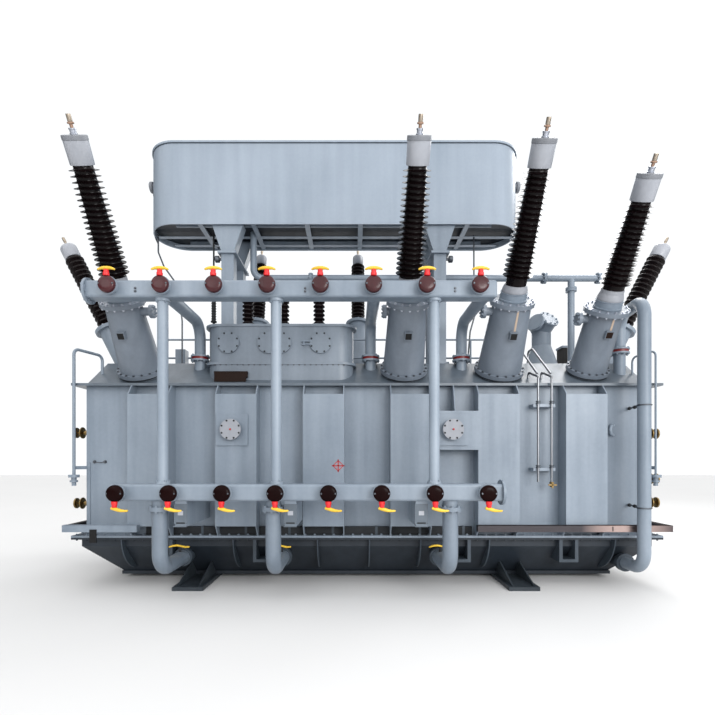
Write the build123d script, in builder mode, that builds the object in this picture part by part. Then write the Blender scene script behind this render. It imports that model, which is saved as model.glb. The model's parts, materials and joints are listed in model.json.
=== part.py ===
from build123d import *
from math import cos, radians, sin, tan
import os

os.makedirs("parts", exist_ok=True)

# Main sizes of the tank, in millimetres. X runs along the tank, the front faces -Y, Z is up.
tank_length = 6900
tank_depth = 2100
joint_level = 590
wall_top = 2425
flange_overhang = 120
flange_thickness = 24
rim_thickness = 30
roof_slope = 36
slope_run = 500

# Boat-shaped lower tank and the feet that it stands on
hull_side_step = 20
hull_end_step = 45
hull_knuckle = 470
bottom_plate_length = 6360
bottom_plate_depth = 1420
bottom_plate_thickness = 40
bottom_plate_lip = 20
hull_rib_places = (-2970, -1620, -600, 30, 650, 1480, 3000)
hull_rib_thickness = 14
hull_rib_reach = 90
hull_rib_foot = 0.85
foot_places = (-2100, 1830)
foot_width = 360
foot_plate_thickness = 45
foot_reach = 310
foot_plate_tuck = 200
foot_gusset_spacing = 250
foot_gusset_thickness = 16
foot_gusset_top = 235
jack_places = (-2470, -1265, 1140, 2440)
jack_width = 230
jack_cheek_thickness = 40
jack_shelf_thickness = 35
jack_shelf_level = 290

# Box stiffeners of the upper tank
stiffener_count = 6
stiffener_pitch = 1040
stiffener_width = 490
stiffener_depth = 215
stiffener_plate = 12
stiffener_bottom = 740
stiffener_top = 2310
end_stiffener_width = 420
end_stiffener_depth = 90
end_stiffener_bottom = 775
end_stiffener_top = 1800
end_stiffener_inset = 550
access_box_bottom = 1648
access_box_top = 2110
hand_hole_level = 1885
hand_hole_places = (-1600, 1000)
hand_hole_pad = 374
hand_hole_pad_thickness = 20
hand_hole_neck_diameter = 190
hand_hole_neck_length = 55
hand_hole_cover_diameter = 244
hand_hole_cover_thickness = 24

# Cable trays that run round the two ends, against the stiffeners
tray_height = 75
tray_depth = 75
tray_bottom = 685
tray_left_end = -2700
tray_right_end = 1290
tray_return = 900

# Oil headers for the radiators, with their valves
header_size = 180
header_corner = 28
header_distance = 760
upper_header_level = 3329
lower_header_level = 1184
upper_header_left = -2975
upper_header_right = 1347
lower_header_left = -2720
lower_header_right = 1400
header_flange_thickness = 26
header_flange_diameter = 270
header_bolt_circle = 225
header_bolt_count = 8
header_bolt_hole = 18
valve_count = 8
valve_pitch = 547
upper_valve_start = -2693
lower_valve_start = -2610
valve_stub_diameter = 108
valve_stub_length = 70
valve_flange_diameter = 188
valve_flange_thickness = 26
valve_disc_diameter = 162
valve_disc_thickness = 50
valve_disc_rim = 10
valve_stem_diameter = 46
valve_stem_length = 62
lever_length = 176
lever_width = 34
lever_thickness = 16
lever_bend = 26
link_places = (-2200, -990, 697)
link_diameter = 114
link_collar_diameter = 150
link_collar_thickness = 26
downpipe_places = (-2230, -1020, 868)
downpipe_diameter = 165
downpipe_bend = 190
downpipe_level = 352
downpipe_flange_level = 985
downpipe_flange_diameter = 236
downpipe_flange_thickness = 44
drain_valve_diameter = 220
drain_valve_length = 190
drain_valve_flange = 60
bracket_places = (-1987, -829, 551)
bracket_width = 120
bracket_height = 270
bracket_nose = 60

# Risers from the upper header and the oil pipe down the right end
riser_places = (-2180, 60, 1255)
riser_diameter = 140
riser_slope_place = 394
riser_stub_length = 80
riser_flange_diameter = 236
riser_flange_thickness = 20
riser_ring_diameter = 214
riser_ring_thickness = 32
riser_run_level = 3310
riser_bend = 200
oil_pipe_inset = 270
oil_stub_inset = 180
oil_pipe_diameter = 142
oil_pipe_bend = 190
oil_pipe_slope_place = 283
oil_pipe_stub_top = 2910
oil_pipe_top = 3375
oil_pipe_clearance = 12
oil_pipe_bottom = 265

# High-voltage bushings on the front slope
hv_places = (-2867, 474, 1692, 2822)
hv_neck_length = 40
hv_flange_lip = 36
hv_flange_thickness = 50
turret_foot_diameters = (510, 520, 540, 440)
turret_head_diameters = (405, 440, 440, 400)
turret_heads = (890, 890, 890, 800)
turret_top_flange_diameter = 506
turret_top_flange_thickness = 46
collar_length = 175
collar_neck_diameter = 312
collar_neck_length = 95
collar_foot_diameter = 288
collar_head_diameter = 252
porcelain_leads = (114, 112, 90, 98)
hv_shed_counts = (20, 20, 20, 16)
hv_shed_pitch = 52
hv_core_foot = 230
hv_core_head = 188
hv_shed_foot = 328
hv_shed_head = 288
hv_cap_diameter = 230
hv_cap_length = 250
hv_cap_band = 44
hv_cap_band_diameter = 240
terminal_length = 165
terminal_pin = 110
terminal_diameter = 46
terminal_pad = 70
terminal_box_place = 600
terminal_box_size = 88
terminal_box_depth = 22
branch_drop = 90
branch_diameter = 96
branch_flange_diameter = 154
branch_flange_thickness = 40
branch_faces = (340, 290, 336, 318)
branch_sides = (1, -1, -1, -1)

# Bushings that lean out over the two ends
end_bushing_inset = 160
end_bushing_distance = 750
end_lean = 27
end_turret_diameter = 290
end_turret_length = 560
end_flange_diameter = 380
end_flange_thickness = 44
end_shed_count = 16
end_shed_pitch = 68
end_core_diameter = 186
end_shed_diameter = 242
end_cap_diameter = 214
end_cap_length = 200
end_terminal_length = 130
end_terminal_diameter = 40

# Bushings behind the conservator, leaning back
rear_places = (-1690, -90)
rear_distance = 1450
rear_lean = 15
rear_turret_diameter = 300
rear_turret_length = 860
rear_flange_diameter = 390
rear_shed_count = 18
rear_shed_pitch = 60
rear_core_diameter = 150
rear_shed_diameter = 216
rear_cap_diameter = 170
rear_cap_length = 180

# Low-voltage box and its bushings
lv_left = -2014
lv_right = -168
lv_front = 100
lv_depth = 410
lv_corner = 190
lv_flange_lip = 40
lv_flange_thickness = 30
lv_base_top = 2754
lv_top = 3230
lv_cover_places = (-1730, -575)
lv_cover_level = 2995
lv_cover_diameter = 270
lv_cover_thickness = 26
lv_slot_cover_length = 420
lv_bushing_places = (-1530, -1070, -610)
lv_bushing_foot = 190
lv_bushing_foot_thickness = 40
lv_shed_count = 6
lv_shed_pitch = 55
lv_core_diameter = 96
lv_shed_diameter = 150

# Conservator and what carries it
conservator_length = 5090
conservator_depth = 800
conservator_place = -430
conservator_distance = 890
conservator_bottom = 4680
conservator_top = 5790
conservator_rim_lip = 16
conservator_rim_thickness = 24
conservator_skirt = 80
conservator_skirt_wall = 14
cross_rib_count = 6
cross_rib_pitch = 720
rib_height = 60
rib_thickness = 24
support_spacing = 2860
post_spacing = 550
post_width = 165
post_plate_level = 4300
post_plate_thickness = 30
post_plate_lip = 40
post_foot_thickness = 30
flare_width = 420
gauge_level = 5400
gauge_diameter = 150
gauge_depth = 72
breather_gap = 240
breather_distance = 720
breather_pipe_diameter = 24
breather_diameter = 66
breather_top = 3800
breather_length = 370
breather_cap_diameter = 82
breather_cap_thickness = 20

# Oil pipe under the conservator and the bent-neck turret near the right end
relay_pipe_level = 4110
relay_pipe_diameter = 92
relay_pipe_left = -1585
relay_pipe_inset = 150
relay_pipe_bend = 140
relay_post_inset = 520
relay_flange_diameter = 150
relay_flange_thickness = 30
neck_turret_inset = 820
neck_turret_distance = 1200
neck_turret_foot = 520
neck_turret_head = 270
neck_turret_height = 640
neck_head_tilt = 50
neck_head_diameter = 300
neck_head_length = 210

# Small pipes and fittings
sample_pipe_places = (2044, 2206)
sample_pipe_diameter = 27
sample_pipe_start = 150
sample_pipe_hump = 70
sample_pipe_distance = 160
sample_pipe_bottom = 1266
sample_pipe_bend = 60
sample_bracket_levels = (1398, 2165)
sample_bracket_width = 260
sample_bracket_height = 34
end_pipe_insets = (60, 35)
end_pipe_outsets = (65, 7)
end_pipe_tops = (2862, 2840)
end_pipe_diameters = (36, 24)
end_pipe_start = 250
end_pipe_distance = 150
end_pipe_bottom = 1350
end_pipe_bend = 70
end_bar_level = 1414
end_bar_height = 40
end_bar_thickness = 14
end_bar_inset = 20
end_valve_steps = ((50, -132, -88), (88, -88, -66), (58, -66, -32), (120, -32, 0))
fitting_diameter = 76
fitting_length = 118
fitting_wheel_diameter = 146
fitting_wheel_thickness = 18
fitting_distance = 170
left_fitting_levels = (980, 1870)
right_fitting_levels = (990, 1290, 1860)

# Slack that lets rounded pieces stand against their seats without cutting into them
seat_gap = 0.2

# How far the part reaches to the front and the rear of the tank's middle plane.
# The frame's origin stands half-way between the two.
lean = radians(roof_slope)
hv_tips = [
    head
    + turret_top_flange_thickness
    + collar_length
    + lead
    + count * hv_shed_pitch
    + hv_cap_length
    + terminal_length
    for head, lead, count in zip(turret_heads, porcelain_leads, hv_shed_counts)
]
front_reach = (
    tank_depth / 2
    - slope_run / 2
    + max(hv_tips) * sin(lean)
    + terminal_diameter / 2 * cos(lean)
)
rear_reach = tank_depth / 2 + foot_reach
tank_y = (front_reach - rear_reach) / 2

# Planes and levels that several pieces share
front_y = tank_y - tank_depth / 2
rear_y = tank_y + tank_depth / 2
rim_top = wall_top + rim_thickness
slope_rise = slope_run * tan(lean)
roof_top = rim_top + slope_rise
flange_top = joint_level + flange_thickness
flange_bottom = joint_level - flange_thickness
hull_bottom = foot_plate_thickness
hull_start = hull_bottom + bottom_plate_thickness
hull_half_depth = tank_depth / 2 + hull_side_step
hull_base_half_depth = bottom_plate_depth / 2 - bottom_plate_lip
header_y = front_y - header_distance
conservator_y = front_y + conservator_distance
conservator_floor = conservator_bottom + conservator_skirt
end_bushing_place = tank_length / 2 - end_bushing_inset
oil_pipe_place = tank_length / 2 - oil_pipe_inset
oil_stub_place = tank_length / 2 - oil_stub_inset
relay_pipe_right = tank_length / 2 - relay_pipe_inset
relay_post_place = tank_length / 2 - relay_post_inset
neck_turret_place = tank_length / 2 - neck_turret_inset
support_places = [conservator_place + side * support_spacing / 2 for side in (-1, 1)]
breather_place = support_places[0] - breather_gap
breather_bottom = breather_top - breather_length


def level(height):
    """A horizontal plane through the tank's middle at a height."""
    return Plane((0, tank_y, height))


def across(place):
    """A plane square to the tank's length: its x is Y and its y is Z."""
    return Plane((place, 0, 0), x_dir=(0, 1, 0), z_dir=(1, 0, 0))


def upright(origin, direction, x_dir=(1, 0, 0)):
    """A plane whose z follows the axis of a leaning piece."""
    return Plane(origin, x_dir=x_dir, z_dir=direction)


def turn(base, points, mode=Mode.ADD):
    """Revolve a profile of radius and height about the z axis of a plane."""
    with BuildSketch(Plane(base.origin, x_dir=base.x_dir, z_dir=-base.y_dir)) as profile:
        with BuildLine():
            Polyline(*points, close=True)
        make_face()
    revolve(profile.sketch, axis=Axis(base.origin, base.z_dir), mode=mode)


def prism(place, width, points, mode=Mode.ADD):
    """Extrude an outline of Y and Z along X, centred on a place."""
    with BuildSketch(across(place - width / 2)) as outline:
        with BuildLine():
            Polyline(*points, close=True)
        make_face()
    extrude(outline.sketch, amount=width, mode=mode)


def tube(points, bend, diameter, mode=Mode.ADD):
    """Sweep a round pipe along straight runs joined by bends."""
    with BuildLine() as route:
        FilletPolyline(*points, radius=bend)
    with BuildSketch(Plane(route.line @ 0, z_dir=route.line % 0)) as bore:
        Circle(diameter / 2)
    sweep(bore.sketch, path=route.line, mode=mode)


def keep(piece, name):
    """Label a finished piece and write it."""
    piece.part.label = name
    export_step(piece.part, f"parts/{name}.step")


def rows(profile):
    """Points that outline a turned solid from its steps of (diameter, start, end)."""
    points = [(0, profile[0][1])]
    for diameter, start, end in profile:
        points.append((diameter / 2, start))
        points.append((diameter / 2, end))
    points.append((0, profile[-1][2]))
    return points


def sheds(start, count, pitch, core, shed, lead=0):
    """Profile of a shedded insulator. Core and shed are (foot, head) diameters."""
    points = [(0, start - lead)]
    if lead:
        points.append((core[0] / 2, start - lead))
    for index in range(count):
        share = index / max(count - 1, 1)
        core_radius = (core[0] + (core[1] - core[0]) * share) / 2
        shed_radius = (shed[0] + (shed[1] - shed[0]) * share) / 2
        foot = start + index * pitch
        points.append((core_radius, foot))
        points.append((shed_radius, foot + pitch * 0.28))
    points.append((core[1] / 2, start + count * pitch))
    points.append((0, start + count * pitch))
    return points


def roof_outline(floor):
    """Section of the sloped roof, carried down to a floor."""
    return [
        (front_y, floor),
        (front_y, rim_top),
        (front_y + slope_run, roof_top),
        (rear_y - slope_run, roof_top),
        (rear_y, rim_top),
        (rear_y, floor),
    ]


def slope_height(distance):
    """Height of the front slope at a distance behind the front wall."""
    return rim_top + distance * tan(lean)


def hull_edge(height):
    """Half-depth of the sloped hull at a height."""
    share = (height - hull_start) / (hull_knuckle - hull_start)
    return hull_base_half_depth + (hull_half_depth - hull_base_half_depth) * share


# Lower tank: bottom plate, sloped hull, short upright wall and joint flange
with BuildPart() as lower_tank:
    with BuildSketch(level(hull_bottom)):
        Rectangle(bottom_plate_length, bottom_plate_depth)
    extrude(amount=bottom_plate_thickness)
    with BuildSketch(level(hull_start)):
        Rectangle(bottom_plate_length - 2 * bottom_plate_lip, 2 * hull_base_half_depth)
    with BuildSketch(level(hull_knuckle)):
        Rectangle(tank_length + 2 * hull_end_step, 2 * hull_half_depth)
    loft()
    with BuildSketch(level(hull_knuckle)):
        Rectangle(tank_length + 2 * hull_end_step, 2 * hull_half_depth)
    extrude(amount=flange_bottom - hull_knuckle)
    with BuildSketch(level(flange_bottom)):
        Rectangle(tank_length + 2 * flange_overhang, tank_depth + 2 * flange_overhang)
    extrude(amount=flange_thickness)
keep(lower_tank, "lower_tank")

# Curved ribs that carry the joint flange on the hull, front and rear
rib_foot_height = hull_knuckle - (hull_knuckle - hull_start) * hull_rib_foot
with BuildPart() as hull_ribs:
    for place in hull_rib_places:
        with BuildSketch(across(place - hull_rib_thickness / 2)) as rib:
            with BuildLine():
                top_inner = (tank_y - hull_half_depth, flange_bottom)
                top_outer = (tank_y - hull_half_depth - hull_rib_reach, flange_bottom)
                foot = (tank_y - hull_edge(rib_foot_height), rib_foot_height)
                belly = (tank_y - hull_half_depth - hull_rib_reach * 0.35, hull_knuckle - hull_rib_reach)
                knuckle = (tank_y - hull_half_depth, hull_knuckle)
                ThreePointArc(top_outer, belly, foot)
                Polyline(foot, knuckle, top_inner, top_outer)
            make_face()
        extrude(amount=hull_rib_thickness)
    mirror(about=Plane.XZ.offset(-tank_y))
keep(hull_ribs, "hull_ribs")

# Feet: a base plate tucked under the bottom plate, with two gussets against the hull
plate_edge = tank_y - bottom_plate_depth / 2
foot_front = front_y - foot_reach
with BuildPart() as support_feet:
    for place in foot_places:
        prism(place, foot_width, [
            (foot_front, 0),
            (plate_edge + foot_plate_tuck, 0),
            (plate_edge + foot_plate_tuck, foot_plate_thickness),
            (foot_front, foot_plate_thickness),
        ])
        for side in (-1, 1):
            prism(place + side * foot_gusset_spacing / 2, foot_gusset_thickness, [
                (foot_front + foot_gusset_thickness, foot_plate_thickness),
                (plate_edge, foot_plate_thickness),
                (plate_edge, hull_start),
                (plate_edge + bottom_plate_lip, hull_start),
                (tank_y - hull_edge(foot_gusset_top), foot_gusset_top),
            ])
    mirror(about=Plane.XZ.offset(-tank_y))
keep(support_feet, "support_feet")

# Jacking brackets under the joint flange: two cheeks and a shelf
hull_front = tank_y - hull_half_depth
jack_front = front_y - flange_overhang + jack_cheek_thickness / 2
with BuildPart() as jacking_brackets:
    for place in jack_places:
        for side in (-1, 1):
            prism(place + side * (jack_width - jack_cheek_thickness) / 2, jack_cheek_thickness, [
                (hull_front, flange_bottom),
                (jack_front, flange_bottom),
                (jack_front, jack_shelf_level),
                (tank_y - hull_edge(jack_shelf_level), jack_shelf_level),
                (hull_front, hull_knuckle),
            ])
        prism(place, jack_width, [
            (jack_front, jack_shelf_level),
            (jack_front, jack_shelf_level + jack_shelf_thickness),
            (tank_y - hull_edge(jack_shelf_level + jack_shelf_thickness), jack_shelf_level + jack_shelf_thickness),
            (tank_y - hull_edge(jack_shelf_level), jack_shelf_level),
        ])
    mirror(about=Plane.XZ.offset(-tank_y))
keep(jacking_brackets, "jacking_brackets")

# Upper tank: walls and its half of the joint flange
with BuildPart() as upper_tank:
    with BuildSketch(level(joint_level)):
        Rectangle(tank_length + 2 * flange_overhang, tank_depth + 2 * flange_overhang)
    extrude(amount=flange_thickness)
    with BuildSketch(level(flange_top)):
        Rectangle(tank_length, tank_depth)
    extrude(amount=wall_top - flange_top)
keep(upper_tank, "upper_tank")

# Cover: rim plate and the roof with a slope along the front and the rear
with BuildPart() as tank_cover:
    with BuildSketch(level(wall_top)):
        Rectangle(tank_length + 2 * flange_overhang, tank_depth + 2 * flange_overhang)
    extrude(amount=rim_thickness)
    prism(0, tank_length, roof_outline(wall_top))
keep(tank_cover, "tank_cover")


def stiffener(place):
    """A box stiffener whose side plates run on to the rim above and the flange below."""
    face = front_y - stiffener_depth
    lip = front_y - flange_overhang
    inner_width = stiffener_width - 2 * stiffener_plate
    prism(place, stiffener_width, [
        (front_y, flange_top),
        (lip, flange_top),
        (face, stiffener_bottom),
        (face, stiffener_top),
        (lip, wall_top),
        (front_y, wall_top),
    ])
    for low, high in ((flange_top, stiffener_bottom), (stiffener_top, wall_top)):
        prism(place, inner_width, [(front_y, low), (face, low), (face, high), (front_y, high)], Mode.SUBTRACT)


stiffener_places = [(index - (stiffener_count - 1) / 2) * stiffener_pitch for index in range(stiffener_count)]
access_left = stiffener_places[3] + stiffener_width / 2
access_right = stiffener_places[4] - stiffener_width / 2
access_middle = (access_left + access_right) / 2
with BuildPart() as front_stiffeners:
    for place in stiffener_places:
        stiffener(place)
    # The box behind the right hand hole joins the fourth and fifth stiffeners
    prism(access_middle, access_right - access_left, [
        (front_y, access_box_bottom),
        (front_y - stiffener_depth, access_box_bottom),
        (front_y - stiffener_depth, access_box_top),
        (front_y, access_box_top),
    ])
    prism(access_middle, stiffener_plate, [
        (front_y, access_box_top),
        (front_y - stiffener_depth, access_box_top),
        (front_y - flange_overhang, wall_top),
        (front_y, wall_top),
    ])
keep(front_stiffeners, "front_stiffeners")

with BuildPart() as rear_stiffeners:
    for place in stiffener_places:
        stiffener(place)
    mirror(about=Plane.XZ.offset(-tank_y), mode=Mode.REPLACE)
keep(rear_stiffeners, "rear_stiffeners")

# Low box stiffeners on the two end walls
with BuildPart() as end_stiffeners:
    with BuildSketch(level(end_stiffener_bottom)):
        with GridLocations(tank_length + end_stiffener_depth, tank_depth - 2 * end_stiffener_inset, 2, 2):
            Rectangle(end_stiffener_depth, end_stiffener_width)
    extrude(amount=end_stiffener_top - end_stiffener_bottom)
keep(end_stiffeners, "end_stiffeners")

# Hand holes: square pad and round neck, closed by a flat cover
pad_face = front_y - stiffener_depth - hand_hole_pad_thickness
neck_face = pad_face - hand_hole_neck_length
with BuildPart() as hand_hole_necks:
    for place in hand_hole_places:
        with BuildSketch(Plane((place, front_y - stiffener_depth, hand_hole_level), x_dir=(1, 0, 0), z_dir=(0, -1, 0))):
            Rectangle(hand_hole_pad, hand_hole_pad)
        extrude(amount=hand_hole_pad_thickness)
        with BuildSketch(Plane((place, pad_face, hand_hole_level), x_dir=(1, 0, 0), z_dir=(0, -1, 0))):
            Circle(hand_hole_neck_diameter / 2)
        extrude(amount=hand_hole_neck_length)
keep(hand_hole_necks, "hand_hole_necks")

with BuildPart() as hand_hole_covers:
    for place in hand_hole_places:
        with BuildSketch(Plane((place, neck_face, hand_hole_level), x_dir=(1, 0, 0), z_dir=(0, -1, 0))):
            Circle(hand_hole_cover_diameter / 2)
        extrude(amount=hand_hole_cover_thickness)
keep(hand_hole_covers, "hand_hole_covers")

# Cable trays: a run along the front and a return along the end
tray_back = front_y - stiffener_depth
tray_front = tray_back - tray_depth
tray_outer = tank_length / 2 + flange_overhang
with BuildPart() as cable_trays:
    for side, inner_end in ((-1, tray_left_end), (1, tray_right_end)):
        with BuildSketch(Plane.XY.offset(tray_bottom)):
            with BuildLine():
                Polyline(
                    (inner_end, tray_back),
                    (inner_end, tray_front),
                    (side * tray_outer, tray_front),
                    (side * tray_outer, tray_back + tray_return),
                    (side * (tray_outer - tray_depth), tray_back + tray_return),
                    (side * (tray_outer - tray_depth), tray_back),
                    close=True,
                )
            make_face()
        extrude(amount=tray_height)
keep(cable_trays, "cable_trays")


def header(left, right, height, flange_at):
    """A rounded square tube along X, with a round flange at one end."""
    with BuildPart() as tube_part:
        with BuildSketch(Plane((left, header_y, height), x_dir=(0, 1, 0), z_dir=(1, 0, 0))):
            RectangleRounded(header_size, header_size, header_corner)
        extrude(amount=right - left)
        flange_start = left - header_flange_thickness if flange_at == "left" else right
        with BuildSketch(Plane((flange_start, header_y, height), x_dir=(0, 1, 0), z_dir=(1, 0, 0))):
            Circle(header_flange_diameter / 2)
            with PolarLocations(header_bolt_circle / 2, header_bolt_count, 180 / header_bolt_count):
                Circle(header_bolt_hole / 2, mode=Mode.SUBTRACT)
        extrude(amount=header_flange_thickness)
        if flange_at == "left":
            fillet(tube_part.faces().sort_by(Axis.X)[-1].edges(), header_corner)
    return tube_part


keep(header(upper_header_left, upper_header_right, upper_header_level, "left"), "upper_header")
keep(header(lower_header_left, lower_header_right, lower_header_level, "right"), "lower_header")

# Butterfly valves along both headers, closed by round discs
header_face = header_y - header_size / 2
valve_flange_face = header_face - valve_stub_length
disc_back = valve_flange_face - valve_flange_thickness
disc_middle = disc_back - valve_disc_thickness / 2


def valve_points(start, height):
    """Places of one header's valves, on its axis."""
    return [(start + index * valve_pitch, height) for index in range(valve_count)]


upper_valves = valve_points(upper_valve_start, upper_header_level)
lower_valves = valve_points(lower_valve_start, lower_header_level)


def facing(place, distance, height):
    """A plane that looks to the front, so that its z points along -Y."""
    return Plane((place, distance, height), x_dir=(1, 0, 0), z_dir=(0, -1, 0))


with BuildPart() as valve_flanges:
    for place, height in upper_valves + lower_valves:
        turn(facing(place, header_face, height), rows([
            (valve_stub_diameter, 0, valve_stub_length),
            (valve_flange_diameter, valve_stub_length, valve_stub_length + valve_flange_thickness),
        ]))
keep(valve_flanges, "valve_flanges")


with BuildPart() as valve_discs:
    for place, height in upper_valves + lower_valves:
        turn(facing(place, disc_back, height), [
            (0, 0),
            (valve_disc_diameter / 2, 0),
            (valve_disc_diameter / 2, valve_disc_thickness - valve_disc_rim),
            (valve_disc_diameter / 2 - valve_disc_rim, valve_disc_thickness),
            (0, valve_disc_thickness),
        ])
keep(valve_discs, "valve_discs")

# Stems stand on the rim of each disc: up on the upper header, down on the lower one
stem_reach = valve_disc_diameter / 2 + valve_stem_length
with BuildPart() as valve_stems:
    for points, side in ((upper_valves, 1), (lower_valves, -1)):
        for place, height in points:
            with BuildSketch(Plane((place, disc_middle, height), z_dir=(0, 0, side))):
                Circle(valve_stem_diameter / 2)
            extrude(amount=stem_reach)
            turn(facing(place, disc_back + valve_disc_rim, height), rows([
                (valve_disc_diameter + 2 * seat_gap, 0, valve_disc_thickness + 2 * valve_disc_rim),
            ]), Mode.SUBTRACT)
keep(valve_stems, "valve_stems")


# Bent flat levers on the stems: the upper ones lie across, the lower ones point right
lower_lever_shift = lever_length / 2 - lever_width
with BuildPart() as valve_levers:
    for points, side, shift in ((upper_valves, 1, 0), (lower_valves, -1, lower_lever_shift)):
        for place, height in points:
            seat = height + side * stem_reach
            outer = seat + side * lever_thickness
            near = place + shift - lever_length / 2
            middle = place + shift
            far = place + shift + lever_length / 2
            with BuildSketch(facing(0, disc_middle + lever_width / 2, 0)):
                with BuildLine():
                    Polyline(
                        (near, seat),
                        (middle, seat),
                        (far, seat + side * lever_bend),
                        (far, outer + side * lever_bend),
                        (middle - lever_thickness / 2, outer),
                        (near, outer),
                        close=True,
                    )
                make_face()
            extrude(amount=lever_width)
keep(valve_levers, "valve_levers")

# Link pipes between the headers, with a collar at each end
link_bottom = lower_header_level + header_size / 2
link_top = upper_header_level - header_size / 2
with BuildPart() as link_pipes:
    for place in link_places:
        turn(Plane((place, header_y, 0)), rows([
            (link_collar_diameter, link_bottom, link_bottom + link_collar_thickness),
            (link_diameter, link_bottom + link_collar_thickness, link_top - link_collar_thickness),
            (link_collar_diameter, link_top - link_collar_thickness, link_top),
        ]))
keep(link_pipes, "link_pipes")

# Downpipes from the lower header to the drain valves on the hull
downpipe_top = lower_header_level - header_size / 2
downpipe_hull = tank_y - hull_edge(downpipe_level)
downpipe_end = downpipe_hull - drain_valve_length
with BuildPart() as downpipes:
    for place in downpipe_places:
        tube(
            [
                (place, header_y, downpipe_top),
                (place, header_y, downpipe_level),
                (place, downpipe_end, downpipe_level),
            ],
            downpipe_bend,
            downpipe_diameter,
        )
        with BuildSketch(Plane((place, header_y, downpipe_flange_level))):
            Circle(downpipe_flange_diameter / 2)
        extrude(amount=downpipe_flange_thickness)
keep(downpipes, "downpipes")


def drain_valve(place, height, start):
    """A flanged valve that runs back to the sloped hull and is cut to its face."""
    turn(Plane((place, start, height), x_dir=(1, 0, 0), z_dir=(0, 1, 0)), rows([
        (drain_valve_diameter, 0, drain_valve_flange),
        (downpipe_diameter, drain_valve_flange, drain_valve_length + drain_valve_diameter),
    ]))


oil_valve_start = tank_y - hull_edge(oil_pipe_bottom) - drain_valve_length
with BuildPart() as drain_valves:
    for place in downpipe_places:
        drain_valve(place, downpipe_level, downpipe_end)
    drain_valve(oil_pipe_place, oil_pipe_bottom, oil_valve_start)
    with BuildSketch(level(hull_start)):
        Rectangle(bottom_plate_length - 2 * bottom_plate_lip, 2 * hull_base_half_depth)
    with BuildSketch(level(hull_knuckle)):
        Rectangle(tank_length + 2 * hull_end_step, 2 * hull_half_depth)
    loft(mode=Mode.SUBTRACT)
keep(drain_valves, "drain_valves")

# Box brackets that carry the lower header from the tank
bracket_top = lower_header_level - header_size / 2
bracket_backs = (front_y, front_y, front_y - stiffener_depth)
with BuildPart() as header_brackets:
    for place, back in zip(bracket_places, bracket_backs):
        prism(place, bracket_width, [
            (back, bracket_top),
            (header_y - bracket_nose, bracket_top),
            (header_y - bracket_nose, bracket_top - bracket_height),
            (back, bracket_top - bracket_height),
        ])
keep(header_brackets, "header_brackets")


def slope_normal(place, distance):
    """A plane on the front slope whose z stands square to the roof."""
    origin = (place, front_y + distance, slope_height(distance))
    return upright(origin, (0, -sin(lean), cos(lean)))


def along(base, height):
    """The point at a height along the axis of a plane."""
    return base.origin + base.z_dir * height


# Upright risers from the roof to the upper header, each on a stub with a coloured ring
ring_start = riser_stub_length + riser_flange_thickness
ring_end = ring_start + riser_ring_thickness
riser_y = front_y + riser_slope_place
riser_foot = slope_height(riser_slope_place)
riser_bend_height = riser_run_level - riser_foot
riser_bases = [Plane((place, riser_y, riser_foot)) for place in riser_places]
oil_stub_base = Plane((oil_stub_place, front_y + oil_pipe_slope_place, oil_pipe_stub_top))
with BuildPart() as riser_stubs:
    for base in riser_bases:
        turn(base, rows([
            (riser_diameter, -riser_diameter, riser_stub_length),
            (riser_flange_diameter, riser_stub_length, ring_start),
        ]))
    turn(oil_stub_base, rows([
        (oil_pipe_diameter, -slope_rise, -riser_flange_thickness),
        (riser_flange_diameter, -riser_flange_thickness, 0),
    ]))
    prism(0, tank_length, roof_outline(wall_top), Mode.SUBTRACT)
keep(riser_stubs, "riser_stubs")

with BuildPart() as riser_rings:
    for base in riser_bases:
        turn(base, rows([(riser_ring_diameter, ring_start, ring_end)]))
    turn(oil_stub_base, rows([(riser_ring_diameter, 0, riser_ring_thickness)]))
keep(riser_rings, "riser_rings")

with BuildPart() as riser_pipes:
    for base in riser_bases:
        turn(base, rows([(riser_flange_diameter, ring_end, ring_end + riser_flange_thickness)]))
        bend_point = along(base, riser_bend_height)
        tube(
            [
                along(base, ring_end),
                bend_point,
                Vector(bend_point.X, header_y + header_size / 2, bend_point.Z),
            ],
            riser_bend,
            riser_diameter,
        )
keep(riser_pipes, "riser_pipes")

# Oil pipe: up from the roof, over the rim and down to the hull
oil_stub_y = front_y + oil_pipe_slope_place
oil_front_y = tray_front - oil_pipe_clearance - oil_pipe_diameter / 2
with BuildPart() as right_oil_pipe:
    tube(
        [
            (oil_stub_place, oil_stub_y, oil_pipe_stub_top + riser_ring_thickness),
            (oil_stub_place, oil_stub_y, oil_pipe_top),
            (oil_pipe_place, oil_front_y, oil_pipe_top),
            (oil_pipe_place, oil_front_y, oil_pipe_bottom),
            (oil_pipe_place, oil_valve_start, oil_pipe_bottom),
        ],
        oil_pipe_bend,
        oil_pipe_diameter,
    )
keep(right_oil_pipe, "right_oil_pipe")

# High-voltage turrets and bushings, square to the front slope
hv_bases = [slope_normal(place, slope_run / 2) for place in hv_places]


def turret_profile(foot, top, head):
    """A conical turret on a short neck, with a flange at its foot and one at its head."""
    flange_radius = foot / 2 + hv_flange_lip
    return [
        (0, 0),
        (foot / 2, 0),
        (foot / 2, hv_neck_length),
        (flange_radius, hv_neck_length),
        (flange_radius, hv_neck_length + hv_flange_thickness),
        (foot / 2, hv_neck_length + hv_flange_thickness),
        (top / 2, head),
        (turret_top_flange_diameter / 2, head),
        (turret_top_flange_diameter / 2, head + turret_top_flange_thickness),
        (0, head + turret_top_flange_thickness),
    ]


turret_profiles = [
    turret_profile(foot, top, head)
    for foot, top, head in zip(turret_foot_diameters, turret_head_diameters, turret_heads)
]
with BuildPart() as hv_turrets:
    for base, profile in zip(hv_bases, turret_profiles):
        turn(base, profile)
keep(hv_turrets, "hv_turrets")

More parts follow.
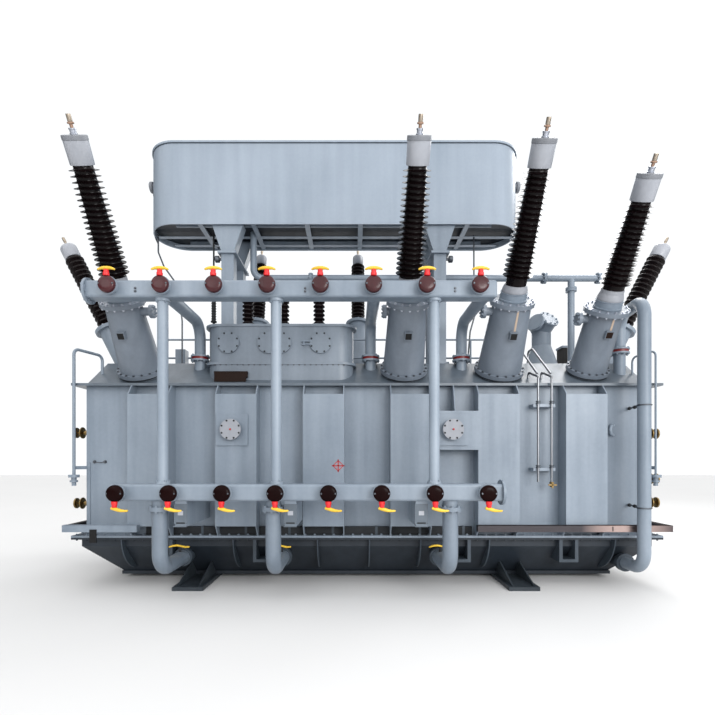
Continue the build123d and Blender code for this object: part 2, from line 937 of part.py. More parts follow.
with BuildPart() as hv_collars:
    for base, head in zip(hv_bases, turret_heads):
        start = head + turret_top_flange_thickness
        turn(base, [
            (0, start),
            (collar_neck_diameter / 2, start),
            (collar_neck_diameter / 2, start + collar_neck_length),
            (collar_foot_diameter / 2, start + collar_neck_length),
            (collar_head_diameter / 2, start + collar_length),
            (0, start + collar_length),
        ])
keep(hv_collars, "hv_collars")

with BuildPart() as hv_porcelains:
    for base, head, lead, count in zip(hv_bases, turret_heads, porcelain_leads, hv_shed_counts):
        turn(base, sheds(
            head + turret_top_flange_thickness + collar_length + lead,
            count,
            hv_shed_pitch,
            (hv_core_foot, hv_core_head),
            (hv_shed_foot, hv_shed_head),
            lead,
        ))
keep(hv_porcelains, "hv_porcelains")

with BuildPart() as hv_caps:
    for base, tip in zip(hv_bases, hv_tips):
        end = tip - terminal_length
        turn(base, rows([
            (hv_cap_diameter, end - hv_cap_length, end - hv_cap_band),
            (hv_cap_band_diameter, end - hv_cap_band, end),
        ]))
keep(hv_caps, "hv_caps")

with BuildPart() as hv_terminals:
    for base, tip in zip(hv_bases, hv_tips):
        turn(base, rows([
            (terminal_pad, tip - terminal_length, tip - terminal_pin),
            (terminal_diameter, tip - terminal_pin, tip),
        ]))
keep(hv_terminals, "hv_terminals")

# Terminal boxes on the front of the turrets and flanged branches on their sides
with BuildPart() as turret_boxes:
    for base, foot, profile in zip(hv_bases, turret_foot_diameters, turret_profiles):
        front = Plane(along(base, terminal_box_place), x_dir=base.x_dir, z_dir=-base.y_dir)
        with BuildSketch(front) as box_face:
            Rectangle(terminal_box_size, terminal_box_size)
        extrude(box_face.sketch, amount=foot / 2 + terminal_box_depth)
        turn(base, profile, Mode.SUBTRACT)
keep(turret_boxes, "turret_boxes")

with BuildPart() as turret_branches:
    for base, head, profile, side, face in zip(hv_bases, turret_heads, turret_profiles, branch_sides, branch_faces):
        sideways = Plane(along(base, head - branch_drop), x_dir=base.z_dir, z_dir=base.x_dir * side)
        turn(sideways, rows([
            (branch_diameter, 0, face - branch_flange_thickness),
            (branch_flange_diameter, face - branch_flange_thickness, face),
        ]))
        turn(base, profile, Mode.SUBTRACT)
keep(turret_branches, "turret_branches")

# End bushings: turrets cut level with the roof, leaning out over the ends
end_y = front_y + end_bushing_distance
end_angle = radians(end_lean)
end_bases = [
    upright((side * end_bushing_place, end_y, roof_top), (side * sin(end_angle), 0, cos(end_angle)), (0, 1, 0))
    for side in (-1, 1)
]
end_porcelain_start = end_turret_length + end_flange_thickness
end_sheds = sheds(
    end_porcelain_start,
    end_shed_count,
    end_shed_pitch,
    (end_core_diameter, end_core_diameter),
    (end_shed_diameter, end_shed_diameter),
)
end_cap_start = end_porcelain_start + end_shed_count * end_shed_pitch
end_cap_end = end_cap_start + end_cap_length
with BuildPart() as end_turrets:
    for base in end_bases:
        turn(base, rows([
            (end_turret_diameter, -end_turret_diameter, end_turret_length),
            (end_flange_diameter, end_turret_length, end_porcelain_start),
        ]))
    split(bisect_by=level(roof_top), keep=Keep.TOP)
keep(end_turrets, "end_turrets")

with BuildPart() as end_porcelains:
    for base in end_bases:
        turn(base, end_sheds)
keep(end_porcelains, "end_porcelains")

with BuildPart() as end_caps:
    for base in end_bases:
        turn(base, rows([
            (end_cap_diameter, end_cap_start, end_cap_end),
            (end_terminal_diameter, end_cap_end, end_cap_end + end_terminal_length),
        ]))
keep(end_caps, "end_caps")

# Rear bushings: turrets cut level with the roof, leaning back
rear_angle = radians(rear_lean)
rear_bases = [
    upright((place, front_y + rear_distance, roof_top), (0, sin(rear_angle), cos(rear_angle)))
    for place in rear_places
]
rear_porcelain_start = rear_turret_length + end_flange_thickness
rear_sheds = sheds(
    rear_porcelain_start,
    rear_shed_count,
    rear_shed_pitch,
    (rear_core_diameter, rear_core_diameter),
    (rear_shed_diameter, rear_shed_diameter),
)
rear_cap_start = rear_porcelain_start + rear_shed_count * rear_shed_pitch
rear_cap_end = rear_cap_start + rear_cap_length
with BuildPart() as rear_turrets:
    for base in rear_bases:
        turn(base, rows([
            (rear_turret_diameter, -rear_turret_diameter, rear_turret_length),
            (rear_flange_diameter, rear_turret_length, rear_porcelain_start),
        ]))
    split(bisect_by=level(roof_top), keep=Keep.TOP)
keep(rear_turrets, "rear_turrets")

with BuildPart() as rear_porcelains:
    for base in rear_bases:
        turn(base, rear_sheds)
keep(rear_porcelains, "rear_porcelains")

with BuildPart() as rear_caps:
    for base in rear_bases:
        turn(base, rows([
            (rear_cap_diameter, rear_cap_start, rear_cap_end),
            (end_terminal_diameter, rear_cap_end, rear_cap_end + end_terminal_length),
        ]))
keep(rear_caps, "rear_caps")

# Low-voltage box on a base that is cut to the roof
lv_length = lv_right - lv_left
lv_middle = (lv_left + lv_right) / 2
lv_y = front_y + lv_front + lv_depth / 2


def lv_level(height):
    """A horizontal plane through the middle of the low-voltage box."""
    return Plane((lv_middle, lv_y, height))


with BuildPart() as lv_box:
    with BuildSketch(lv_level(wall_top)):
        RectangleRounded(lv_length, lv_depth, lv_corner)
    extrude(amount=lv_top - wall_top)
    for height in (lv_base_top - lv_flange_thickness, lv_top - lv_flange_thickness):
        with BuildSketch(lv_level(height)):
            RectangleRounded(lv_length + 2 * lv_flange_lip, lv_depth + lv_flange_lip / 2, lv_corner)
        extrude(amount=lv_flange_thickness)
    for place in lv_bushing_places:
        with BuildSketch(Plane((place, lv_y, lv_top))):
            RectangleRounded(lv_bushing_foot, lv_bushing_foot, lv_bushing_foot_thickness)
        extrude(amount=lv_bushing_foot_thickness)
    prism(0, tank_length, roof_outline(wall_top), Mode.SUBTRACT)
keep(lv_box, "lv_box")

with BuildPart() as lv_covers:
    for place in lv_cover_places:
        with BuildSketch(facing(place, front_y + lv_front, lv_cover_level)):
            Circle(lv_cover_diameter / 2)
        extrude(amount=lv_cover_thickness)
    with BuildSketch(facing(sum(lv_cover_places) / 2, front_y + lv_front, lv_cover_level)):
        SlotOverall(lv_slot_cover_length, lv_cover_diameter)
    extrude(amount=lv_cover_thickness)
keep(lv_covers, "lv_covers")

lv_sheds = sheds(
    lv_bushing_foot_thickness,
    lv_shed_count,
    lv_shed_pitch,
    (lv_core_diameter, lv_core_diameter),
    (lv_shed_diameter, lv_shed_diameter),
)
with BuildPart() as lv_bushings:
    for place in lv_bushing_places:
        turn(Plane((place, lv_y, lv_top)), lv_sheds)
keep(lv_bushings, "lv_bushings")


# Conservator: a long tank with round ends, a rim round its top and a skirt below
def conservator_plane(height):
    """A horizontal plane through the middle of the conservator."""
    return Plane((conservator_place, conservator_y, height))


inner_length = conservator_length - 2 * conservator_skirt_wall
inner_depth = conservator_depth - 2 * conservator_skirt_wall
with BuildPart() as conservator:
    with BuildSketch(conservator_plane(conservator_bottom)):
        SlotOverall(conservator_length, conservator_depth)
    extrude(amount=conservator_top - conservator_bottom)
    with BuildSketch(conservator_plane(conservator_top - conservator_rim_thickness)):
        SlotOverall(conservator_length + 2 * conservator_rim_lip, conservator_depth + 2 * conservator_rim_lip)
    extrude(amount=conservator_rim_thickness)
    with BuildSketch(conservator_plane(conservator_bottom)):
        SlotOverall(inner_length, inner_depth)
    extrude(amount=conservator_skirt, mode=Mode.SUBTRACT)
keep(conservator, "conservator")

# Stiffening grid under the conservator, inside its skirt
rib_bottom = conservator_floor - rib_height
with BuildPart() as conservator_ribs:
    with BuildSketch(conservator_plane(rib_bottom)) as grid:
        with GridLocations(0, post_spacing, 1, 2):
            Rectangle(inner_length - inner_depth, rib_thickness)
        with GridLocations(cross_rib_pitch, 0, cross_rib_count, 1):
            Rectangle(rib_thickness, inner_depth)
    extrude(amount=rib_height)
keep(conservator_ribs, "conservator_ribs")

# Support frames: two posts on foot plates, a top plate and a flared head
plate_top = post_plate_level + post_plate_thickness
frame_depth = post_spacing + post_width
with BuildPart() as conservator_supports:
    for place in support_places:
        with BuildSketch(Plane((place, conservator_y, roof_top))) as posts:
            with GridLocations(0, post_spacing, 1, 2):
                Rectangle(post_width, post_width)
        extrude(amount=post_plate_level - roof_top)
        with BuildSketch(Plane((place, conservator_y, roof_top))) as feet:
            with GridLocations(0, post_spacing, 1, 2):
                Rectangle(post_width + 2 * post_plate_lip, post_width)
        extrude(amount=post_foot_thickness)
        with BuildSketch(Plane((place, conservator_y, post_plate_level))) as top_plate:
            Rectangle(post_width + 2 * post_plate_lip, frame_depth + 2 * post_plate_lip)
        extrude(amount=post_plate_thickness)
        for side in (-1, 1):
            head_front = conservator_y + side * post_spacing / 2 - post_width / 2
            with BuildSketch(facing(place, head_front, 0)) as head:
                with BuildLine():
                    Polyline(
                        (-post_width / 2, plate_top),
                        (post_width / 2, plate_top),
                        (flare_width / 2, rib_bottom),
                        (-flare_width / 2, rib_bottom),
                        close=True,
                    )
                make_face()
            extrude(amount=-post_width)
keep(conservator_supports, "conservator_supports")

# Oil level gauges on the conservator's round ends
with BuildPart() as level_gauges:
    for side in (-1, 1):
        start = Vector(conservator_place + side * (conservator_length - conservator_depth) / 2, conservator_y, gauge_level)
        turn(Plane(start, x_dir=(0, 1, 0), z_dir=(side, 0, 0)), rows([
            (gauge_diameter, 0, conservator_depth / 2 + gauge_depth),
        ]))
    with BuildSketch(conservator_plane(conservator_bottom)):
        SlotOverall(conservator_length, conservator_depth)
    extrude(amount=conservator_top - conservator_bottom, mode=Mode.SUBTRACT)
keep(level_gauges, "level_gauges")

# Breather that hangs from the conservator
breather_y = front_y + breather_distance
with BuildPart() as breather:
    turn(Plane((breather_place, breather_y, 0)), rows([
        (breather_diameter / 2, breather_bottom - breather_cap_thickness, breather_bottom),
        (breather_cap_diameter, breather_bottom, breather_bottom + breather_cap_thickness),
        (breather_diameter, breather_bottom + breather_cap_thickness, breather_top - breather_cap_thickness),
        (breather_cap_diameter, breather_top - breather_cap_thickness, breather_top),
        (breather_pipe_diameter, breather_top, conservator_floor),
    ]))
keep(breather, "breather")

# Oil pipe under the conservator, with flanges and a post down to the roof
with BuildPart() as relay_pipe:
    tube(
        [
            (relay_pipe_left, conservator_y, conservator_floor),
            (relay_pipe_left, conservator_y, relay_pipe_level),
            (relay_pipe_right, conservator_y, relay_pipe_level),
        ],
        relay_pipe_bend,
        relay_pipe_diameter,
    )
    turn(Plane((relay_post_place, conservator_y, 0)), rows([
        (relay_flange_diameter, roof_top, roof_top + relay_flange_thickness),
        (relay_pipe_diameter, roof_top + relay_flange_thickness, relay_pipe_level),
    ]))
    for place in (relay_pipe_left + conservator_depth, relay_post_place - conservator_depth / 2, relay_pipe_right):
        with BuildSketch(Plane((place, conservator_y, relay_pipe_level), x_dir=(0, 1, 0), z_dir=(1, 0, 0))):
            Circle(relay_flange_diameter / 2)
        extrude(amount=relay_flange_thickness)
keep(relay_pipe, "relay_pipe")

# Conical turret with a tilted head closed by a blind flange
neck_base = Plane((neck_turret_place, front_y + neck_turret_distance, roof_top))
tilt = radians(neck_head_tilt)
with BuildPart() as neck_turret:
    turn(neck_base, [
        (0, 0),
        (neck_turret_foot / 2, 0),
        (neck_turret_foot / 2, relay_flange_thickness),
        (neck_turret_head / 2, neck_turret_height * 0.62),
        (neck_turret_head / 2, neck_turret_height),
        (0, neck_turret_height),
    ])
    head_start = along(neck_base, neck_turret_height)
    turn(upright(head_start, (sin(tilt) * 0.35, -sin(tilt), cos(tilt))), rows([
        (neck_turret_head, -neck_turret_head / 4, neck_head_length - relay_flange_thickness),
        (neck_head_diameter, neck_head_length - relay_flange_thickness, neck_head_length),
    ]))
keep(neck_turret, "neck_turret")

# Two thin sampling pipes from the roof down the front wall, with brackets
sample_y = front_y - sample_pipe_distance
sample_start_y = front_y + sample_pipe_start
sample_start_z = slope_height(sample_pipe_start)
sample_middle = sum(sample_pipe_places) / 2
sample_back = sample_y + sample_pipe_diameter / 2 + seat_gap
with BuildPart() as sample_pipes:
    for place in sample_pipe_places:
        tube(
            [
                (place, sample_start_y, sample_start_z - sample_pipe_diameter),
                (place, sample_start_y, sample_start_z + sample_pipe_hump),
                (place, sample_y, rim_top + sample_pipe_hump),
                (place, sample_y, sample_pipe_bottom),
            ],
            sample_pipe_bend / 2,
            sample_pipe_diameter,
        )
    prism(0, tank_length, roof_outline(wall_top), Mode.SUBTRACT)
    for height in sample_bracket_levels:
        prism(sample_middle, sample_bracket_width, [
            (front_y, height),
            (sample_back, height),
            (sample_back, height + sample_bracket_height),
            (front_y, height + sample_bracket_height),
        ])
keep(sample_pipes, "sample_pipes")

# Thin pipes from the roof over the rim and down both ends of the front wall, each with a valve and a bar
end_pipe_y = front_y - end_pipe_distance
end_start_y = front_y + end_pipe_start
end_start_z = slope_height(end_pipe_start)
with BuildPart() as end_pipes:
    for side, inset, outset, top, diameter in zip(
        (-1, 1), end_pipe_insets, end_pipe_outsets, end_pipe_tops, end_pipe_diameters
    ):
        inner = side * (tank_length / 2 - inset)
        outer = side * (tank_length / 2 + outset)
        tube(
            [
                (inner, end_start_y, end_start_z - diameter),
                (inner, end_start_y, top),
                (outer, end_pipe_y, top),
                (outer, end_pipe_y, end_pipe_bottom),
            ],
            end_pipe_bend,
            diameter,
        )
        turn(Plane((outer, end_pipe_y, end_pipe_bottom)), rows(end_valve_steps))
        bar_end = side * (tank_length / 2 - end_bar_inset)
        with BuildSketch(Plane.XY.offset(end_bar_level)) as bar:
            with BuildLine():
                Polyline(
                    (outer, end_pipe_y),
                    (outer - side * end_bar_thickness, end_pipe_y),
                    (bar_end - side * end_bar_thickness, front_y),
                    (bar_end, front_y),
                    close=True,
                )
            make_face()
        extrude(bar.sketch, amount=end_bar_height)
    prism(0, tank_length, roof_outline(wall_top), Mode.SUBTRACT)
keep(end_pipes, "end_pipes")

# Valves with hand wheels on the two end walls
fitting_y = front_y + fitting_distance
wheel_start = fitting_length + fitting_wheel_thickness
with BuildPart() as end_wall_valves:
    for side, heights in ((-1, left_fitting_levels), (1, right_fitting_levels)):
        for height in heights:
            turn(Plane((side * tank_length / 2, fitting_y, height), x_dir=(0, 1, 0), z_dir=(side, 0, 0)), rows([
                (fitting_diameter, 0, fitting_length),
                (fitting_diameter / 3, fitting_length, wheel_start),
                (fitting_wheel_diameter, wheel_start, wheel_start + fitting_wheel_thickness),
            ]))
keep(end_wall_valves, "end_wall_valves")
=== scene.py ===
import json
from math import cos, pi, radians, sin, tan

import bpy
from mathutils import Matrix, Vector


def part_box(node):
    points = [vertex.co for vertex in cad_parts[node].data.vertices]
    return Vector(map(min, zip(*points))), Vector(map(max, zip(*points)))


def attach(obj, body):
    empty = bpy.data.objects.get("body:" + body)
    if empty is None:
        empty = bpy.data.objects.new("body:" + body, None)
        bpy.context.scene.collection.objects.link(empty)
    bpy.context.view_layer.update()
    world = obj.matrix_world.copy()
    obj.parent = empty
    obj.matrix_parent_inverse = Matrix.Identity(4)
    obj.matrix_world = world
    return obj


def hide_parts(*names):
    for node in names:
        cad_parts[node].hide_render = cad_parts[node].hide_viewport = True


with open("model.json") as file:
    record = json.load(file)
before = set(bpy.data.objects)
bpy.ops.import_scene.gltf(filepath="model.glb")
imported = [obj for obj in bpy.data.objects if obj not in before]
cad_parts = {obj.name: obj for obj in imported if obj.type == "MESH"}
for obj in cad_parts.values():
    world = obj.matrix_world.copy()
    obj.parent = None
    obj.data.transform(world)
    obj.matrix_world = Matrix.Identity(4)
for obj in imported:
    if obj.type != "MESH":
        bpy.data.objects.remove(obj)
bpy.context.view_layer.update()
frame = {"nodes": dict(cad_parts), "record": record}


def middle(node):
    """The middle of a node's box."""
    low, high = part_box(node)
    return (low + high) / 2


# Places taken from the frame, in metres
rim_overhang = 0.12
roof_low, roof_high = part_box("tank_cover")
front = roof_low.y + rim_overhang
rear = roof_high.y - rim_overhang
wall_end = roof_high.x - rim_overhang
rim_top = roof_low.z + 0.03
roof_lean = radians(36)
roof_top = roof_high.z
header_y = middle("upper_header").y
header_face = header_y - 0.09
upper_header_z = middle("upper_header").z
lower_header_z = middle("lower_header").z
valve_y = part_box("valve_discs")[1].y
downpipe_places = (-2.23, -1.02, 0.868)
link_places = (-2.2, -0.99, 0.697)
sample_x = middle("sample_pipes").x
sample_places = (sample_x - 0.081, sample_x + 0.081)
sample_y = front - 0.16
relay_y = middle("relay_pipe").y
relay_z = 4.11
conservator_x = middle("conservator").x
conservator_half = 2.145
hand_hole_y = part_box("hand_hole_covers")[0].y
hand_hole_z = middle("hand_hole_covers").z
hand_holes = [Vector((x, hand_hole_y, hand_hole_z)) for x in (-1.6, 1.0)]

# Directions
rightwards = (1, 0, 0)
forwards = (0, -1, 0)
backwards = (0, 1, 0)
up = (0, 0, 1)
down = (0, 0, -1)


class Wire:
    """An output of a node that can take part in sums."""

    def __init__(self, graph, socket):
        self.graph = graph
        self.socket = socket

    def __add__(self, other):
        return self.graph.maths("ADD", self, other)

    def __sub__(self, other):
        return self.graph.maths("SUBTRACT", self, other)

    def __rsub__(self, other):
        return self.graph.maths("SUBTRACT", other, self)

    def __mul__(self, other):
        return self.graph.maths("MULTIPLY", self, other)

    def __truediv__(self, other):
        return self.graph.maths("DIVIDE", self, other)

    def __pow__(self, other):
        return self.graph.maths("POWER", self, other)

    __radd__ = __add__
    __rmul__ = __mul__


class Graph:
    """A node tree with one method that adds nodes to it."""

    def __init__(self, tree):
        self.tree = tree

    def add(self, kind, settings=None, values=None, output=0):
        node = self.tree.nodes.new(kind)
        for key, value in (settings or {}).items():
            if key == "curve":
                points = node.mapping.curves[0].points
                while len(points) < len(value):
                    points.new(0.5, 0.5)
                for point, place in zip(points, value):
                    point.location = place
                    point.handle_type = "VECTOR"
                node.mapping.update()
            else:
                setattr(node, key, value)
        for key, value in (values or {}).items():
            socket = node.inputs[key]
            for item in value if isinstance(value, list) else [value]:
                if isinstance(item, Wire):
                    self.tree.links.new(item.socket, socket)
                else:
                    socket.default_value = item
        return Wire(self, node.outputs[output]) if node.outputs else None

    def maths(self, operation, *values):
        return self.add("ShaderNodeMath", {"operation": operation}, dict(enumerate(values)))


class Finish(Graph):
    """A material whose look comes from its nodes."""

    def __init__(self, name):
        self.material = bpy.data.materials.new(name)
        self.material.use_nodes = True
        super().__init__(self.material.node_tree)
        self.tree.nodes.clear()
        self.place = self.add("ShaderNodeTexCoord", output="Object")

    def noise(self, scale, detail=3.0, stretch=None):
        place = self.place
        if stretch:
            place = self.add("ShaderNodeMapping", {}, {"Vector": place, "Scale": stretch})
        return self.add("ShaderNodeTexNoise", {}, {"Vector": place, "Scale": scale, "Detail": detail})

    def blend(self, share, low, high):
        return self.add("ShaderNodeMix", {"data_type": "RGBA"}, {"Factor": share, 6: low, 7: high}, output=2)

    def bump(self, height, strength, depth):
        return self.add("ShaderNodeBump", {}, {"Height": height, "Strength": strength, "Distance": depth})

    def coat(self, **values):
        named = {key.replace("_", " "): value for key, value in values.items()}
        surface = self.add("ShaderNodeBsdfPrincipled", {}, named)
        self.add("ShaderNodeOutputMaterial", {}, {"Surface": surface})
        return self.material


def tint(colour):
    """A screen colour as the renderer's linear one."""
    shares = []
    for part in colour:
        part = part / 255
        shares.append(part / 12.92 if part <= 0.04045 else ((part + 0.055) / 1.055) ** 2.4)
    return (*shares, 1.0)


def enamel(name, low, high, gloss=0.36, peel=0.10, sheen=0.5):
    """Sprayed paint: soft clouds, faint runs down the walls and an orange-peel skin."""
    paint = Finish(name)
    clouds = paint.noise(0.8, 4.0)
    runs = paint.noise(3.0, 3.0, (2.6, 2.6, 0.16))
    specks = paint.noise(26.0, 2.0)
    share = clouds * 0.55 + runs * 0.35 + specks * 0.10
    spread = paint.add("ShaderNodeMapRange", {}, {"Value": share, "From Min": 0.34, "From Max": 0.64})
    skin = paint.noise(95.0, 2.0)
    return paint.coat(
        Base_Color=paint.blend(spread, tint(low), tint(high)),
        Roughness=gloss + 0.10 * (1 - spread) + 0.04 * specks,
        Specular_IOR_Level=sheen,
        Normal=paint.bump(skin, peel, 0.002),
    )


def glaze(name, low, high):
    """Dark brown glazed porcelain with slow colour drift."""
    paint = Finish(name)
    drift = paint.noise(2.2, 4.0)
    pits = paint.noise(140.0, 2.0)
    return paint.coat(
        Base_Color=paint.blend(drift, tint(low), tint(high)),
        Roughness=0.14 + 0.10 * drift,
        Specular_IOR_Level=0.12,
        Normal=paint.bump(pits, 0.04, 0.001),
    )


def metal(name, low, high, gloss, grain=(1.0, 1.0, 18.0)):
    """Bare metal with a drawn or turned grain."""
    paint = Finish(name)
    lines = paint.noise(14.0, 4.0, grain)
    patches = paint.noise(2.0, 3.0)
    return paint.coat(
        Base_Color=paint.blend(patches * 0.6 + lines * 0.4, tint(low), tint(high)),
        Metallic=1.0,
        Roughness=gloss + 0.16 * lines,
        Normal=paint.bump(lines, 0.08, 0.001),
    )


def moulded(name, low, high, gloss, sheen=0.2):
    """Plastic or rubber with a fine grain."""
    paint = Finish(name)
    drift = paint.noise(7.0, 3.0)
    grain = paint.noise(300.0, 2.0)
    return paint.coat(
        Base_Color=paint.blend(drift, tint(low), tint(high)),
        Roughness=gloss + 0.12 * drift,
        Specular_IOR_Level=sheen,
        Normal=paint.bump(grain, 0.10, 0.0006),
    )


def folded_steel(name, low, high, glint_colour, centre=3.05, reach=0.55):
    """Folded sheet with a long grain, and a painted reflection that lightens it near the right end of the
    tray.
    """
    paint = Finish(name)
    lines = paint.noise(14.0, 4.0, (0.5, 18.0, 18.0))
    along = paint.add("ShaderNodeSeparateXYZ", {}, {0: paint.place})
    # Share of the painted reflection, highest at the centre and gone beyond the reach
    near = 1 - ((along - centre) / reach) ** 2
    glint_share = paint.add("ShaderNodeMapRange", {}, {"Value": near})
    sheet = paint.blend(lines, tint(low), tint(high))
    return paint.coat(
        Base_Color=paint.blend(glint_share, sheet, tint(glint_colour)),
        Metallic=1.0,
        Roughness=0.22 + 0.16 * lines,
        Normal=paint.bump(lines, 0.08, 0.001),
    )


tank_grey = enamel("tank_grey", (104, 116, 129), (131, 142, 154))
# Turrets, their boxes and branches: a darker copy of the tank paint, painted shade where they lean forward
# and face down
turret_shade_grey = enamel("turret_shade_grey", (94, 103, 114), (118, 127, 138))
# Lower tank: a darker copy of the tank paint, painted shade; also used for the dark sheet under the
# conservator and the heads under the joint
hull_shade_grey = enamel("hull_shade_grey", (29, 35, 42), (43, 50, 58), 0.40, 0.10, 0.3)
# A darker copy of the tank paint as painted shade, for the hull ribs, drain valves, jacking brackets, duct
# clips and the painted shadow line under the conservator rim
plinth_shade_grey = enamel("plinth_shade_grey", (48, 56, 64), (66, 75, 84), 0.40, 0.10, 0.3)
# Tank cover and bracket plates: a darker copy of the tank paint, painted shade under the headers, turrets
# and conservator
roof_shade_grey = enamel("roof_shade_grey", (66, 75, 84), (92, 102, 112), 0.30)
# Low-voltage box and covers: a slightly darker copy of the tank paint, painted shade
box_shade_grey = enamel("box_shade_grey", (94, 104, 115), (122, 132, 143))
# Link pipes, wall hook and underside bars: a lighter copy of the tank paint, painted light
link_lit_grey = enamel("link_lit_grey", (117, 129, 142), (144, 155, 167))
# Downpipes: a darker copy of the tank paint, painted shade
drain_shade_grey = enamel("drain_shade_grey", (93, 104, 116), (119, 130, 142))
# Support feet: a darker copy of the tank paint, painted shade under the hull
foot_shade_grey = enamel("foot_shade_grey", (39, 45, 51), (55, 62, 68), 0.40, 0.10, 0.3)
conservator_grey = enamel("conservator_grey", (126, 138, 151), (144, 155, 168), 0.30)
collar_white = enamel("collar_white", (128, 131, 138), (152, 155, 162), 0.4)
cap_grey = enamel("cap_grey", (140, 144, 152), (166, 169, 176), 0.32)
ring_grey = enamel("ring_grey", (106, 109, 115), (130, 133, 139), 0.42)
# Valve plates: one maroon, lighter on the upper row as painted reflection and near-black on the lower row as
# painted shade
disc_maroon = enamel("disc_maroon", (45, 16, 20), (68, 29, 33), 0.18, 0.03, 0.30)
disc_shade_maroon = enamel("disc_shade_maroon", (12, 3, 3), (24, 7, 7), 0.18, 0.03, 0.05)
stem_red = enamel("stem_red", (190, 18, 24), (222, 34, 38), 0.3)
lever_yellow = enamel("lever_yellow", (206, 160, 28), (232, 194, 62), 0.34)
ring_red = enamel("ring_red", (84, 10, 14), (122, 18, 20), 0.34)
mark_red = enamel("mark_red", (150, 30, 32), (172, 44, 44), 0.5)
brown_glaze = glaze("brown_glaze", (9, 6, 7), (22, 14, 15))
bright_steel = metal("bright_steel", (118, 120, 124), (158, 160, 164), 0.28)
pale_steel = metal("pale_steel", (160, 165, 175), (198, 202, 212), 0.3)
lug_metal = metal("lug_metal", (146, 134, 120), (180, 169, 155), 0.34)
# The tray's sheet turns pale pink near its right end: a painted reflection
tray_steel = folded_steel("tray_steel", (60, 58, 61), (84, 80, 83), (170, 150, 145))
bolt_steel = metal("bolt_steel", (70, 74, 80), (112, 116, 122), 0.36)
valve_brass = metal("valve_brass", (108, 88, 54), (146, 124, 84), 0.32)
copper = metal("copper", (150, 122, 105), (180, 152, 134), 0.36)
strip_tan = enamel("strip_tan", (164, 144, 126), (186, 167, 150), 0.4)
black_plastic = moulded("black_plastic", (14, 14, 15), (30, 30, 31), 0.42)
# Near-black for small black parts, and as painted shadow under the turret feet and painted shade on the
# cable duct
gasket_black = moulded("gasket_black", (26, 28, 30), (48, 50, 53), 0.6)
rust_brown = moulded("rust_brown", (22, 13, 10), (42, 26, 19), 0.34, 0.1)

finish_of = {
    "tank_paint": tank_grey,
    "conservator_paint": conservator_grey,
    "white_paint": collar_white,
    "porcelain": brown_glaze,
    "cap_metal": cap_grey,
    "terminal_metal": bright_steel,
    "box_black": black_plastic,
    "disc_maroon": disc_maroon,
    "stem_red": stem_red,
    "lever_yellow": lever_yellow,
    "stainless": bright_steel,
    "brass": valve_brass,
}
# Several nodes take darker or lighter copies of the tank paint: painted shade and painted light
special_finish = {
    "lower_tank": hull_shade_grey,
    "hull_ribs": plinth_shade_grey,
    "drain_valves": plinth_shade_grey,
    "tank_cover": roof_shade_grey,
    "turret_boxes": turret_shade_grey,
    "hv_turrets": turret_shade_grey,
    "turret_branches": turret_shade_grey,
    "support_feet": foot_shade_grey,
    "lv_box": box_shade_grey,
    "link_pipes": link_lit_grey,
    "downpipes": drain_shade_grey,
    "jacking_brackets": plinth_shade_grey,
    "cable_trays": tray_steel,
    "riser_rings": ring_red,
    "lv_covers": box_shade_grey,
}
for entry in frame["record"]["subparts"]:
    node = frame["nodes"][entry["node"]]
    node.data.materials.clear()
    node.data.materials.append(special_finish.get(entry["node"], finish_of[entry["material_slot"]]))


class Recipe(Graph):
    """A geometry tree with named inputs."""

    def __init__(self, name, inputs):
        self.group = bpy.data.node_groups.new(name, "GeometryNodeTree")
        super().__init__(self.group)
        sockets = self.group.interface
        sockets.new_socket("Geometry", in_out="INPUT", socket_type="NodeSocketGeometry")
        self.names = {}
        for label, kind in inputs.items():
            socket = sockets.new_socket(label, in_out="INPUT", socket_type=f"NodeSocket{kind}")
            self.names[label] = socket.identifier
        sockets.new_socket("Geometry", in_out="OUTPUT", socket_type="NodeSocketGeometry")
        self.entry = self.group.nodes.new("NodeGroupInput")

    def given(self, label):
        return Wire(self, self.entry.outputs[label])

    def stand(self, shape):
        """Set a shape on every seed, turned to the seed's axis and side."""
        axis = self.add("GeometryNodeInputNamedAttribute", {"data_type": "FLOAT_VECTOR"}, {"Name": "axis"})
        side = self.add("GeometryNodeInputNamedAttribute", {"data_type": "FLOAT_VECTOR"}, {"Name": "side"})
        turn = "FunctionNodeAlignRotationToVector"
        upright = self.add(turn, {"axis": "Z"}, {"Vector": axis})
        aligned = self.add(turn, {"axis": "X", "pivot_axis": "Z"}, {"Rotation": upright, "Vector": side})
        values = {"Points": self.given("Geometry"), "Instance": shape, "Rotation": aligned}
        self.close(self.add("GeometryNodeInstanceOnPoints", {}, values))

    def close(self, shape):
        """Make what the tree has built plain, and give it its finish."""
        plain = self.add("GeometryNodeRealizeInstances", {}, {0: shape})
        values = {"Geometry": plain, "Material": self.given("Material")}
        self.add("NodeGroupOutput", {}, {0: self.add("GeometryNodeSetMaterial", {}, values)})


def shape_of(name, points, edges=(), faces=()):
    """A mesh of points, edges and faces."""
    mesh = bpy.data.meshes.new(name)
    mesh.from_pydata([tuple(point) for point in points], edges, faces)
    return mesh


def keep(piece, smooth=None):
    """Ride a finished piece on the part."""
    if smooth is not None:
        piece.data.polygons.foreach_set("use_smooth", [True] * len(piece.data.polygons))
        piece.data.set_sharp_from_angle(angle=radians(smooth))
    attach(piece, "root")
    return piece


def plain_piece(name, data):
    """A new object in the scene."""
    piece = bpy.data.objects.new(name, data)
    bpy.context.scene.collection.objects.link(piece)
    return piece


